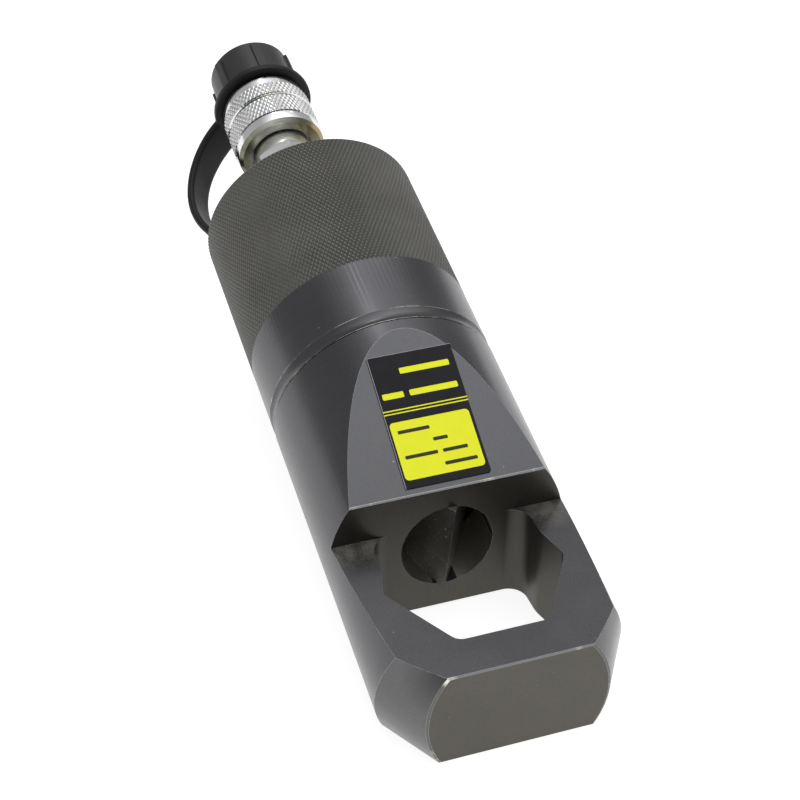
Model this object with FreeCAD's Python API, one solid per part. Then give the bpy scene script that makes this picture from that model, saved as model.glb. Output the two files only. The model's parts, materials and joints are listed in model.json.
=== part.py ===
import FreeCAD, Part
import math
import os

from FreeCAD import Placement, Rotation, Vector

# Hydraulic nut splitter with an angled cutter head, in millimetres.
# Every piece is drawn about the tool axis, X, which runs from the rear face of the barrel to the tip.
# Each is then tilted so that the flat base of the head lies on Z = 0, the nut axis is the Z axis
# and +X points from the chisel to the anvil.

# Head, seen from above: the nut space is the front half of a hexagon, opened out to the rear wall.
HEAD_TILT = 12.0
NUT_SPACE_FLATS = 41.2
WALL_TO_NUT_AXIS = 20.0
ANVIL_THICKNESS = 11.4
PLATE_THICKNESS = 28.0
SIDE_WALL_REAR = 20.9
SIDE_WALL_MIDDLE = 21.2
SIDE_WALL_BEND = 9.5
REAR_CORNER_RADIUS = 5.0
SIDE_BEND_RADIUS = 12.0
HEX_CORNER_RADIUS = 2.6
ANVIL_CORNER_RADIUS = 3.6
OPENING_CHAMFER = 0.5
STEP_ROUNDING = 0.8
EDGE_BREAK = 0.4
LABEL_FLAT_ANGLE = 17.0
LABEL_FLAT_DROP = 14.7
BASE_FLAT_FROM_JOINT = 0.07
NOSE_CONE_LENGTH = 14.1
NOSE_CONE_ANGLE = 32.0

# Body
BODY_RADIUS = 32.0
BARREL_LENGTH = 75.0
HEAD_BODY_LENGTH = 51.7
REAR_EDGE_BREAK = 1.0
RECESS_LENGTH = 4.0
RECESS_DEPTH = 0.55
HEAD_JOINT_CHAMFER = 0.5
BARREL_WALL = 6.0
SPIGOT_WALL = 2.0
SPIGOT_LENGTH = 10.0
REAR_WALL = 12.0
PORT_RADIUS = 8.4
PORT_DEPTH = 9.0
PASSAGE_RADIUS = 3.0

# Piston and ram
STROKE = 28.0
RUNNING_GAP = 0.05
SEAT_GAP = 0.3
CROWN_LENGTH = 14.0
REAR_LAND = 1.8
SEAL_LENGTH = 4.2
BACKUP_LENGTH = 1.4
MIDDLE_LAND = 1.6
GUIDE_RING_LENGTH = 3.4
SEAL_DEPTH = 4.2
GUIDE_RING_DEPTH = 2.2
SEAL_LIP_GAP = 0.9
SEAL_LIP_DEPTH = 2.4
PRESSURE_DISH_DEPTH = 3.0
PRESSURE_DISH_RADIUS = 15.0
GUIDE_BORE_RADIUS = 12.5
ROD_CLEARANCE = 0.2

# Chisel
WEDGE_HALF_ANGLE = 34.0
CHISEL_PROUD = 2.0
CHISEL_LENGTH = 24.0
CHISEL_ROLL = -6.0
CHISEL_TAIL_RADIUS = 7.0
CHISEL_TAIL_LENGTH = 12.0
CHISEL_SCREW_RADIUS = 2.5
CHISEL_SCREW_FROM_BLADE = 3.8
CHISEL_SCREW_SOCKET = 3.0
CHISEL_SCREW_SOCKET_DEPTH = 3.0
CHISEL_SCREW_BITE = 1.5
CHISEL_SCREW_SINK = 0.6

# Return spring, its seat and the sleeve that stops the piston
SPRING_SEAT_THICKNESS = 2.0
SLEEVE_BORE_GAP = 0.1
SLEEVE_WALL = 5.6
SPRING_GAP = 0.9
SPRING_WIRE_RADIAL = 3.4
SPRING_WIRE_AXIAL = 3.0
SPRING_TURNS = 6.5
SPRING_STEPS = 30
SPRING_TIP = 0.15

# Static seals
HEAD_RING_LAND = 1.6
HEAD_RING_WIDTH = 2.6
HEAD_RING_DEPTH = 1.7
WIPER_FROM_WALL = 12.0
WIPER_LENGTH = 4.0
WIPER_DEPTH = 2.8
WIPER_LIP = 1.0

# Coupler half
NECK_RADIUS = 8.85
HEX_FLATS = 18.0
HEX_FRONT = 12.0
HEX_LENGTH = 14.5
NOSE_END = 46.0
FLUID_BORE_RADIUS = 3.6
VALVE_BORE_RADIUS = 5.6
VALVE_BORE_LENGTH = 15.0
SNAP_RING_WIDTH = 1.3
SNAP_RING_GROOVE = 0.9
SNAP_RING_PROUD = 1.5
COLLAR_FRONT = 31.2
COLLAR_END = 52.6
COLLAR_RADIUS = 14.1
COLLAR_PLAIN_RADIUS = 13.7
COLLAR_FACE_RADIUS = 12.7
COLLAR_BEVEL = 1.0
COLLAR_PLAIN_LENGTH = 3.3
COLLAR_BAND_LENGTH = 7.5
COLLAR_GROOVE_WIDTH = 1.1
COLLAR_GROOVE_DEPTH = 0.6
COLLAR_LIP = 2.3
COLLAR_NECK_GAP = 0.75
COLLAR_SHOULDER = 2.6
COLLAR_INNER_RADIUS = 11.0
COLLAR_THREAD_RADIUS = 11.8
COLLAR_THREAD_LENGTH = 11.6
NOSE_RING_WIDTH = 2.0
NOSE_RING_DEPTH = 1.3
NOSE_RING_LAND = 2.2

# Check valve in the coupler
SEAT_BORE_RADIUS = 3.3
SEAT_LENGTH = 4.0
POPPET_GAP = 0.06
POPPET_NOSE_RADIUS = 1.8
POPPET_RADIUS = 4.8
POPPET_RIM = 1.5
POPPET_STEM_RADIUS = 2.2
POPPET_STEM_LENGTH = 4.9
VALVE_SPRING_RADIUS = 4.6
VALVE_SPRING_WIRE = 0.8
VALVE_SPRING_TURNS = 4.0

# Dust cap and strap
CAP_HEAD_LENGTH = 16.0
CAP_BASE_RADIUS = 13.1
CAP_TOP_RADIUS = 12.8
CAP_TOP_ROUNDING = 1.2
CAP_RIB_COUNT = 6
CAP_RIB_TURN = 56.0
CAP_RIB_WIDTH = 2.6
CAP_RIB_HEIGHT = 0.55
CAP_RIB_FROM_TOP = 2.4
CAP_RIB_ROOT = 1.0
CAP_NECK_RADIUS = 12.0
CAP_STUB_LENGTH = 8.5
CAP_THREAD_GAP = 0.15
CAP_HOLLOW_RADIUS = 9.6
CAP_HOLLOW_DEPTH = 11.5
STRAP_RING_GAP = 0.1
STRAP_RING_LENGTH = 3.4
STRAP_RING_RADIUS = 15.8
STRAP_ANGLE = 214.5
STRAP_WIDTH = 9.2
STRAP_THICKNESS = 2.0
STRAP_LEAVES_AT = 68.0
STRAP_ARRIVES_AT = 30.0
STRAP_FIRST_BEND = 3.1
STRAP_LAST_BEND = 15.8
STRAP_TAIL_FROM_BARREL = 6.7
STRAP_TAIL_RING_WIDTH = 4.2
STRAP_TAIL_RING_GAP = 0.15

# Label plate
LABEL_WIDTH = 22.9
LABEL_LENGTH = 37.2
LABEL_THICKNESS = 0.4
LABEL_CORNER_RADIUS = 0.6
LABEL_FROM_APEX = 7.0
LABEL_OFFSET = 0.65

HALF_SIXTH_TURN = math.radians(30)
FAR = 400.0
NEAR = 0.001
TILT = math.radians(HEAD_TILT)
X_AXIS = Vector(1, 0, 0)
Y_AXIS = Vector(0, 1, 0)
Z_AXIS = Vector(0, 0, 1)
ORIGIN = Vector(0, 0, 0)

# Places along the tool axis, and radii about it
SHOULDER = BARREL_LENGTH + SPIGOT_LENGTH
AXIS_TO_WALL = BARREL_LENGTH + HEAD_BODY_LENGTH
PISTON_REAR = REAR_WALL + SEAT_GAP
CROWN_FRONT = PISTON_REAR + CROWN_LENGTH
SPRING_SEAT_REAR = SHOULDER - SPRING_SEAT_THICKNESS
CHISEL_EDGE = AXIS_TO_WALL + CHISEL_PROUD
CHISEL_REAR = CHISEL_EDGE - CHISEL_LENGTH
PISTON_BORE_RADIUS = BODY_RADIUS - BARREL_WALL
SPIGOT_RADIUS = PISTON_BORE_RADIUS + SPIGOT_WALL
PISTON_RADIUS = PISTON_BORE_RADIUS - RUNNING_GAP
SLEEVE_RADIUS = PISTON_BORE_RADIUS - SLEEVE_BORE_GAP
SPRING_OUTER_RADIUS = SLEEVE_RADIUS - SLEEVE_WALL - SPRING_GAP
CHISEL_RADIUS = GUIDE_BORE_RADIUS - RUNNING_GAP
ROD_RADIUS = GUIDE_BORE_RADIUS - ROD_CLEARANCE

# Places on the head, in the tilted frame
WALL_X = -WALL_TO_NUT_AXIS
ANVIL_X = NUT_SPACE_FLATS / 2
TIP_X = ANVIL_X + ANVIL_THICKNESS


def tool_to_head():
    """Placement that tilts a piece drawn about the tool axis into the head's frame."""
    turn = Rotation(Y_AXIS, HEAD_TILT)
    wall_point = turn.multVec(Vector(AXIS_TO_WALL, 0, 0))
    base_start = turn.multVec(Vector(BARREL_LENGTH + BASE_FLAT_FROM_JOINT, 0, -BODY_RADIUS))
    return Placement(Vector(WALL_X - wall_point.x, 0, -base_start.z), turn)


def tilted(shape):
    """The shape, moved from the tool-axis frame to the head's frame."""
    moved = shape.copy()
    moved.Placement = tool_to_head().multiply(moved.Placement)
    return moved


def turned(profile):
    """Solid of revolution about the tool axis from (x, radius) corners."""
    points = [Vector(x, r, 0) for x, r in profile]
    face = Part.Face(Part.makePolygon(points + points[:1]))
    return face.revolve(ORIGIN, X_AXIS, 360)


def rod(x_from, x_to, radius):
    """Plain cylinder on the tool axis."""
    return Part.makeCylinder(radius, x_to - x_from, Vector(x_from, 0, 0), X_AXIS)


def ring(x_from, x_to, inner, outer):
    """Plain ring on the tool axis."""
    return rod(x_from, x_to, outer).cut(rod(x_from, x_to, inner))


def box_between(low, high):
    """Box from its lowest to its highest corner."""
    size = [b - a for a, b in zip(low, high)]
    return Part.makeBox(*size, Vector(*low))


def rounded_outline(corners):
    """Closed wire in the XY plane through (x, y, radius) corners, each rounded by a tangent arc."""
    edges = []
    starts = []
    ends = []
    count = len(corners)
    for i in range(count):
        before = Vector(*corners[i - 1][:2], 0)
        here = Vector(*corners[i][:2], 0)
        after = Vector(*corners[(i + 1) % count][:2], 0)
        radius = corners[i][2]
        back = (before - here).normalize()
        ahead = (after - here).normalize()
        half_angle = back.getAngle(ahead) / 2
        reach = radius / math.tan(half_angle)
        middle = (back + ahead).normalize()
        centre = here + middle * (radius / math.sin(half_angle))
        starts.append(here + back * reach)
        ends.append(here + ahead * reach)
        edges.append(Part.Arc(starts[-1], centre - middle * radius, ends[-1]).toShape())
    for i in range(count):
        edges.append(Part.makeLine(ends[i - 1], starts[i]))
    return Part.Wire(Part.__sortEdges__(edges))


def coil(x_from, x_to, outer_radius, wire_radial, wire_axial, turns):
    """Compression spring of rectangular wire, in short straight steps, with both ends ground flat."""
    travel = x_to - x_from - wire_axial * (2 * SPRING_TIP - 1)
    count = round(turns * SPRING_STEPS)
    sections = []
    for i in range(count + 1):
        angle = 2 * math.pi * turns * i / count
        rear = x_from + wire_axial * (SPRING_TIP - 1) + travel * i / count
        low = max(rear, x_from)
        high = min(rear + wire_axial, x_to)
        outward = Vector(0, math.cos(angle), math.sin(angle))
        inner = outward * (outer_radius - wire_radial)
        outer = outward * outer_radius
        rear_face = X_AXIS * low
        front_face = X_AXIS * high
        sections.append([rear_face + inner, rear_face + outer, front_face + outer, front_face + inner])
    faces = [quad(*sections[0]), quad(*reversed(sections[-1]))]
    for here, there in zip(sections, sections[1:]):
        for j in range(4):
            faces.append(triangle(here[j - 1], here[j], there[j]))
            faces.append(triangle(here[j - 1], there[j], there[j - 1]))
    spring = Part.Solid(Part.makeShell(faces))
    if spring.Volume < 0:
        spring.reverse()
    return spring


def triangle(a, b, c):
    return Part.Face(Part.makePolygon([a, b, c, a]))


def quad(a, b, c, d):
    return Part.Face(Part.makePolygon([a, b, c, d, a]))


# Barrel: the hydraulic cylinder, its front end screwed into the head
def barrel():
    recess_front = BARREL_LENGTH
    recess_rear = BARREL_LENGTH - RECESS_LENGTH
    body = turned(
        [
            (0, 0),
            (0, BODY_RADIUS - REAR_EDGE_BREAK),
            (REAR_EDGE_BREAK, BODY_RADIUS),
            (recess_front, BODY_RADIUS),
            (recess_front, SPIGOT_RADIUS),
            (SHOULDER, SPIGOT_RADIUS),
            (SHOULDER, 0),
        ]
    )
    sagitta = RECESS_DEPTH
    groove_radius = (RECESS_LENGTH**2 / 4 + sagitta**2) / (2 * sagitta)
    middle = (recess_front + recess_rear) / 2
    groove = Part.makeTorus(
        BODY_RADIUS + groove_radius - sagitta, groove_radius, Vector(middle, 0, 0), X_AXIS
    )
    body = body.cut(groove)
    body = body.cut(rod(REAR_WALL, SHOULDER, PISTON_BORE_RADIUS))
    body = body.cut(rod(0, PORT_DEPTH, PORT_RADIUS))
    return body.cut(rod(PORT_DEPTH, REAR_WALL, PASSAGE_RADIUS))


def head_ring():
    """Ring in the head that keeps dirt out of its joint with the barrel."""
    rear = BARREL_LENGTH + HEAD_RING_LAND
    return ring(rear, rear + HEAD_RING_WIDTH, SPIGOT_RADIUS, SPIGOT_RADIUS + HEAD_RING_DEPTH)


# Cutter head: a turned body, milled flat underneath, with a plate at the front that holds the nut
def opening_outline(grow=0.0):
    """Outline of the nut space, seen from above, offset outward by grow."""
    slope = math.tan(HALF_SIXTH_TURN)
    anvil_half = ANVIL_X * slope
    hex_half = NUT_SPACE_FLATS / math.sqrt(3)
    upper = [
        (WALL_X - grow, SIDE_WALL_REAR + grow, REAR_CORNER_RADIUS + grow),
        (-SIDE_WALL_BEND, SIDE_WALL_MIDDLE + grow, SIDE_BEND_RADIUS),
        (0, hex_half + grow / math.cos(HALF_SIXTH_TURN), HEX_CORNER_RADIUS + grow),
        (ANVIL_X + grow, anvil_half + grow * slope, ANVIL_CORNER_RADIUS + grow),
    ]
    lower = [(x, -y, r) for x, y, r in reversed(upper)]
    return rounded_outline(upper + lower)


def opening_cutter():
    """The nut space with its chamfered lower edge."""
    hole = Part.Face(opening_outline()).extrude(Z_AXIS * (2 * FAR))
    hole.translate(Z_AXIS * -FAR)
    wide = opening_outline(OPENING_CHAMFER)
    narrow = opening_outline()
    narrow.translate(Z_AXIS * OPENING_CHAMFER)
    chamfer = Part.makeLoft([wide, narrow], True)
    return hole.fuse(chamfer)


def label_flat_frame():
    """Placement of the label flat: X down the slope from its apex, Z out of the face."""
    run = LABEL_FLAT_DROP / math.tan(math.radians(LABEL_FLAT_ANGLE))
    apex = Vector(AXIS_TO_WALL - run, 0, BODY_RADIUS)
    return Placement(apex, Rotation(Y_AXIS, LABEL_FLAT_ANGLE))


def edges_at(shape, test):
    """Edges whose ends and middle all pass the test."""
    chosen = []
    for edge in shape.Edges:
        span = edge.ParameterRange
        points = [edge.valueAt(span[0]), edge.valueAt((span[0] + span[1]) / 2), edge.valueAt(span[1])]
        if all(test(point) for point in points):
            chosen.append(edge)
    return chosen


def on_step_edge(point):
    """Whether the point lies on the straight edge between the label flat and the rear wall."""
    depth = label_flat_frame().inverse().multVec(tool_to_head().inverse().multVec(point)).z
    return abs(point.x - WALL_X) < NEAR and abs(depth) < NEAR


def cutter_head():
    cone_end = BODY_RADIUS / math.tan(math.radians(NOSE_CONE_ANGLE))
    tip_on_axis = AXIS_TO_WALL + (TIP_X - WALL_X) / math.cos(TILT)
    cone_start = tip_on_axis - NOSE_CONE_LENGTH
    blank = turned(
        [
            (BARREL_LENGTH, 0),
            (BARREL_LENGTH, BODY_RADIUS - HEAD_JOINT_CHAMFER),
            (BARREL_LENGTH + HEAD_JOINT_CHAMFER, BODY_RADIUS),
            (cone_start, BODY_RADIUS),
            (cone_start + cone_end, 0),
        ]
    )
    blank = tilted(blank)
    slope = box_between((-FAR, -FAR, 0), (FAR, FAR, FAR))
    slope.Placement = label_flat_frame()
    behind_wall = box_between((-FAR, -FAR, -FAR), (WALL_X, FAR, FAR))
    blank = blank.cut(tilted(slope).common(behind_wall))
    blank = blank.cut(box_between((-FAR, -FAR, -FAR), (FAR, FAR, 0)))
    blank = blank.cut(box_between((WALL_X, -FAR, PLATE_THICKNESS), (FAR, FAR, FAR)))
    blank = blank.cut(box_between((TIP_X, -FAR, -FAR), (FAR, FAR, FAR)))
    blank = blank.makeChamfer(EDGE_BREAK, edges_at(blank, lambda p: abs(p.x - TIP_X) < NEAR))
    blank = blank.makeFillet(STEP_ROUNDING, edges_at(blank, on_step_edge))
    blank = blank.cut(opening_cutter())
    blank = blank.cut(tilted(rod(BARREL_LENGTH, SHOULDER, SPIGOT_RADIUS)))
    blank = blank.cut(tilted(rod(SHOULDER, AXIS_TO_WALL + WALL_TO_NUT_AXIS, GUIDE_BORE_RADIUS)))
    blank = blank.cut(tilted(head_ring()))
    return blank.cut(tilted(wiper_seat()))


def wiper_seat():
    front = AXIS_TO_WALL - WIPER_FROM_WALL
    return rod(front - WIPER_LENGTH, front, GUIDE_BORE_RADIUS + WIPER_DEPTH)


def chisel_wiper():
    """Lipped ring in the head that wipes the chisel as it goes back."""
    front = AXIS_TO_WALL - WIPER_FROM_WALL
    rear = front - WIPER_LENGTH
    inner = GUIDE_BORE_RADIUS
    return turned(
        [
            (rear, inner + WIPER_LIP),
            (front, inner),
            (front, inner + WIPER_DEPTH),
            (rear, inner + WIPER_DEPTH),
        ]
    )


# Piston: crown with its seal grooves, and the ram rod
def piston():
    seal_rear = PISTON_REAR + REAR_LAND
    seal_front = seal_rear + SEAL_LENGTH + BACKUP_LENGTH
    guide_rear = seal_front + MIDDLE_LAND
    guide_front = guide_rear + GUIDE_RING_LENGTH
    profile = [
        (PISTON_REAR + PRESSURE_DISH_DEPTH, 0),
        (PISTON_REAR + PRESSURE_DISH_DEPTH, PRESSURE_DISH_RADIUS),
        (PISTON_REAR, PRESSURE_DISH_RADIUS + PRESSURE_DISH_DEPTH),
        (PISTON_REAR, PISTON_RADIUS),
        (seal_rear, PISTON_RADIUS),
        (seal_rear, PISTON_RADIUS - SEAL_DEPTH),
        (seal_front, PISTON_RADIUS - SEAL_DEPTH),
        (seal_front, PISTON_RADIUS),
        (guide_rear, PISTON_RADIUS),
        (guide_rear, PISTON_RADIUS - GUIDE_RING_DEPTH),
        (guide_front, PISTON_RADIUS - GUIDE_RING_DEPTH),
        (guide_front, PISTON_RADIUS),
        (CROWN_FRONT, PISTON_RADIUS),
        (CROWN_FRONT, ROD_RADIUS),
        (CHISEL_REAR, ROD_RADIUS),
        (CHISEL_REAR, CHISEL_TAIL_RADIUS),
        (CHISEL_REAR - CHISEL_TAIL_LENGTH, CHISEL_TAIL_RADIUS),
        (CHISEL_REAR - CHISEL_TAIL_LENGTH, 0),
    ]
    return turned(profile).cut(screw_hole())


def piston_seal():
    """U-shaped seal, its lips towards the oil."""
    rear = PISTON_REAR + REAR_LAND
    front = rear + SEAL_LENGTH
    outer = PISTON_RADIUS
    inner = PISTON_RADIUS - SEAL_DEPTH
    middle = (outer + inner) / 2
    return turned(
        [
            (rear, inner),
            (rear, middle - SEAL_LIP_GAP),
            (rear + SEAL_LIP_DEPTH, middle),
            (rear, middle + SEAL_LIP_GAP),
            (rear, outer),
            (front, outer),
            (front, inner),
        ]
    )


def backup_ring():
    rear = PISTON_REAR + REAR_LAND + SEAL_LENGTH
    return ring(rear, rear + BACKUP_LENGTH, PISTON_RADIUS - SEAL_DEPTH, PISTON_RADIUS)


def guide_ring():
    rear = PISTON_REAR + REAR_LAND + SEAL_LENGTH + BACKUP_LENGTH + MIDDLE_LAND
    return ring(rear, rear + GUIDE_RING_LENGTH, PISTON_RADIUS - GUIDE_RING_DEPTH, PISTON_RADIUS)


def return_spring():
    return coil(
        CROWN_FRONT,
        SPRING_SEAT_REAR,
        SPRING_OUTER_RADIUS,
        SPRING_WIRE_RADIAL,
        SPRING_WIRE_AXIAL,
        SPRING_TURNS,
    )


def spring_seat():
    return ring(SPRING_SEAT_REAR, SHOULDER, GUIDE_BORE_RADIUS, SPRING_OUTER_RADIUS)


def stop_sleeve():
    """Sleeve against the head that ends the stroke when the piston reaches it."""
    rear = CROWN_FRONT + STROKE + SEAT_GAP
    return ring(rear, SHOULDER, SLEEVE_RADIUS - SLEEVE_WALL, SLEEVE_RADIUS)


# Chisel: a round bar ground to a wedge whose edge stays parallel to the nut axis
def chisel():
    bar = rod(CHISEL_REAR, CHISEL_EDGE + BODY_RADIUS, CHISEL_RADIUS)
    half = math.radians(WEDGE_HALF_ANGLE)
    reach = BODY_RADIUS * math.tan(half)
    wedge_outline = [
        Vector(CHISEL_EDGE, 0, 0),
        Vector(CHISEL_EDGE - BODY_RADIUS, reach, 0),
        Vector(-FAR, reach, 0),
        Vector(-FAR, -reach, 0),
        Vector(CHISEL_EDGE - BODY_RADIUS, -reach, 0),
        Vector(CHISEL_EDGE, 0, 0),
    ]
    wedge = Part.Face(Part.makePolygon(wedge_outline)).extrude(Z_AXIS * (2 * FAR))
    wedge.translate(Z_AXIS * -FAR)
    wedge.rotate(Vector(CHISEL_EDGE, 0, 0), Y_AXIS, -HEAD_TILT)
    blade = bar.common(wedge)
    tail = rod(CHISEL_REAR - CHISEL_TAIL_LENGTH, CHISEL_REAR, CHISEL_TAIL_RADIUS)
    blade = blade.fuse(tail).removeSplitter()
    blade.rotate(ORIGIN, X_AXIS, CHISEL_ROLL)
    return blade.cut(screw_hole())


def screw_place():
    """Where the point of the grub screw bears on the chisel's tail."""
    return Vector(CHISEL_REAR - CHISEL_SCREW_FROM_BLADE, 0, CHISEL_TAIL_RADIUS - CHISEL_SCREW_BITE)


def screw_hole():
    return Part.makeCylinder(CHISEL_SCREW_RADIUS, BODY_RADIUS, screw_place(), Z_AXIS)


def chisel_screw():
    """Grub screw through the end of the ram, reached when the ram is out."""
    length = ROD_RADIUS - CHISEL_SCREW_SINK - screw_place().z
    body = Part.makeCylinder(CHISEL_SCREW_RADIUS, length, screw_place(), Z_AXIS)
    top = screw_place() + Z_AXIS * length
    return body.cut(hexagon(CHISEL_SCREW_SOCKET, top, Z_AXIS * -CHISEL_SCREW_SOCKET_DEPTH))


def hexagon(flats, centre, extent):
    """Hexagonal prism with that distance across its flats."""
    corner = flats / math.sqrt(3)
    direction = Vector(extent).normalize()
    turn = Rotation(Z_AXIS, direction)
    points = []
    for i in range(7):
        angle = math.radians(60 * i)
        point = Vector(corner * math.cos(angle), corner * math.sin(angle), 0)
        points.append(centre + turn.multVec(point))
    return Part.Face(Part.makePolygon(points)).extrude(extent)


# Coupler half: its distances are measured back from the barrel's rear face
def coupler_body():
    nose_ring_front = NOSE_END - NOSE_RING_LAND - NOSE_RING_WIDTH
    ring_front = COLLAR_FRONT + COLLAR_SHOULDER
    body = turned(
        [
            (PORT_DEPTH, 0),
            (PORT_DEPTH, PORT_RADIUS),
            (0, PORT_RADIUS),
            (0, NECK_RADIUS),
            (-ring_front, NECK_RADIUS),
            (-ring_front, NECK_RADIUS - SNAP_RING_GROOVE),
            (-ring_front - SNAP_RING_WIDTH, NECK_RADIUS - SNAP_RING_GROOVE),
            (-ring_front - SNAP_RING_WIDTH, NECK_RADIUS),
            (-nose_ring_front, NECK_RADIUS),
            (-nose_ring_front, NECK_RADIUS - NOSE_RING_DEPTH),
            (-nose_ring_front - NOSE_RING_WIDTH, NECK_RADIUS - NOSE_RING_DEPTH),
            (-nose_ring_front - NOSE_RING_WIDTH, NECK_RADIUS),
            (-NOSE_END, NECK_RADIUS),
            (-NOSE_END, 0),
        ]
    )
    nut = hexagon(HEX_FLATS, Vector(-HEX_FRONT, 0, 0), X_AXIS * -HEX_LENGTH)
    corner = HEX_FLATS / math.sqrt(3)
    crown = (corner - HEX_FLATS / 2) / 2
    faced = turned(
        [
            (-HEX_FRONT, 0),
            (-HEX_FRONT, HEX_FLATS / 2),
            (-HEX_FRONT - crown, corner),
            (-HEX_FRONT - HEX_LENGTH + crown, corner),
            (-HEX_FRONT - HEX_LENGTH, HEX_FLATS / 2),
            (-HEX_FRONT - HEX_LENGTH, 0),
        ]
    )
    body = body.fuse(nut.common(faced)).removeSplitter()
    body = body.cut(rod(-NOSE_END, PORT_DEPTH, FLUID_BORE_RADIUS))
    return body.cut(rod(-NOSE_END, -NOSE_END + VALVE_BORE_LENGTH, VALVE_BORE_RADIUS))


def coupler_collar():
    """Union collar that spins on the body and screws to the hose half."""
    face = -COLLAR_FRONT
    plain_front = face - COLLAR_BEVEL
    plain_rear = plain_front - COLLAR_PLAIN_LENGTH
    band_rear = plain_rear - COLLAR_BAND_LENGTH
    groove_rear = band_rear - COLLAR_GROOVE_WIDTH
    end = -COLLAR_END
    lip_front = end + COLLAR_LIP
    neck_bore = NECK_RADIUS + COLLAR_NECK_GAP
    return turned(
        [
            (face, neck_bore),
            (face, COLLAR_FACE_RADIUS),
            (plain_front, COLLAR_PLAIN_RADIUS),
            (plain_rear, COLLAR_PLAIN_RADIUS),
            (plain_rear, COLLAR_RADIUS),
            (band_rear, COLLAR_RADIUS),
            (band_rear, COLLAR_RADIUS - COLLAR_GROOVE_DEPTH),
            (groove_rear, COLLAR_RADIUS - COLLAR_GROOVE_DEPTH),
            (groove_rear, COLLAR_RADIUS),
            (lip_front, COLLAR_RADIUS),
            (lip_front, COLLAR_PLAIN_RADIUS),
            (end, COLLAR_PLAIN_RADIUS),
            (end, COLLAR_THREAD_RADIUS),
            (end + COLLAR_THREAD_LENGTH, COLLAR_THREAD_RADIUS),
            (end + COLLAR_THREAD_LENGTH, COLLAR_INNER_RADIUS),
            (face - COLLAR_SHOULDER + SEAT_GAP, COLLAR_INNER_RADIUS),
            (face - COLLAR_SHOULDER + SEAT_GAP, neck_bore),
        ]
    )


def snap_ring():
    """Ring in the body's groove that keeps the collar on."""
    front = -COLLAR_FRONT - COLLAR_SHOULDER
    inner = NECK_RADIUS - SNAP_RING_GROOVE
    return ring(front - SNAP_RING_WIDTH, front, inner, NECK_RADIUS + SNAP_RING_PROUD)


def nose_ring():
    """Ring on the nose that seals against the hose half."""
    front = -NOSE_END + NOSE_RING_LAND + NOSE_RING_WIDTH
    return ring(front - NOSE_RING_WIDTH, front, NECK_RADIUS - NOSE_RING_DEPTH, NECK_RADIUS)


def valve_seat():
    return ring(-NOSE_END, -NOSE_END + SEAT_LENGTH, SEAT_BORE_RADIUS, VALVE_BORE_RADIUS)


def poppet_back():
    """Where the poppet's rim ends and its spring begins, from the barrel's rear face."""
    return -NOSE_END + SEAT_LENGTH + POPPET_RADIUS - SEAT_BORE_RADIUS + POPPET_GAP + POPPET_RIM


def valve_poppet():
    """Poppet whose 45 degree cone closes the seat, with a stem that centres its spring."""
    back = poppet_back()
    cone_back = back - POPPET_RIM
    nose = cone_back - (POPPET_RADIUS - POPPET_NOSE_RADIUS)
    return turned(
        [
            (nose, 0),
            (nose, POPPET_NOSE_RADIUS),
            (cone_back, POPPET_RADIUS),
            (back, POPPET_RADIUS),
            (back, POPPET_STEM_RADIUS),
            (back + POPPET_STEM_LENGTH, POPPET_STEM_RADIUS),
            (back + POPPET_STEM_LENGTH, 0),
        ]
    )


def valve_spring():
    return coil(
        poppet_back(),
        -NOSE_END + VALVE_BORE_LENGTH,
        VALVE_SPRING_RADIUS,
        VALVE_SPRING_WIRE,
        VALVE_SPRING_WIRE,
        VALVE_SPRING_TURNS,
    )


# Dust cap and the strap that ties it to the coupler's neck
def strap_ring_front():
    return -COLLAR_END - SEAT_GAP


def dust_cap():
    head_base = strap_ring_front() - STRAP_RING_LENGTH - SEAT_GAP
    top = head_base - CAP_HEAD_LENGTH
    stub_front = strap_ring_front() + CAP_STUB_LENGTH
    stub_radius = COLLAR_THREAD_RADIUS - CAP_THREAD_GAP
    body = turned(
        [
            (top, 0),
            (top, CAP_TOP_RADIUS - CAP_TOP_ROUNDING),
            (top + CAP_TOP_ROUNDING, CAP_TOP_RADIUS),
            (head_base, CAP_BASE_RADIUS),
            (head_base, CAP_NECK_RADIUS),
            (strap_ring_front(), CAP_NECK_RADIUS),
            (strap_ring_front(), stub_radius),
            (stub_front, stub_radius),
            (stub_front, CAP_HOLLOW_RADIUS),
            (stub_front - CAP_HOLLOW_DEPTH, CAP_HOLLOW_RADIUS),
            (stub_front - CAP_HOLLOW_DEPTH, 0),
        ]
    )
    ribs = []
    for i in range(CAP_RIB_COUNT):
        rib = box_between(
            (top + CAP_RIB_FROM_TOP, -CAP_RIB_WIDTH / 2, CAP_NECK_RADIUS - CAP_RIB_ROOT),
            (head_base, CAP_RIB_WIDTH / 2, CAP_BASE_RADIUS + CAP_RIB_HEIGHT),
        )
        rib.rotate(ORIGIN, X_AXIS, CAP_RIB_TURN + 360 * i / CAP_RIB_COUNT)
        ribs.append(rib)
    return body.fuse(ribs).removeSplitter()


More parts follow.
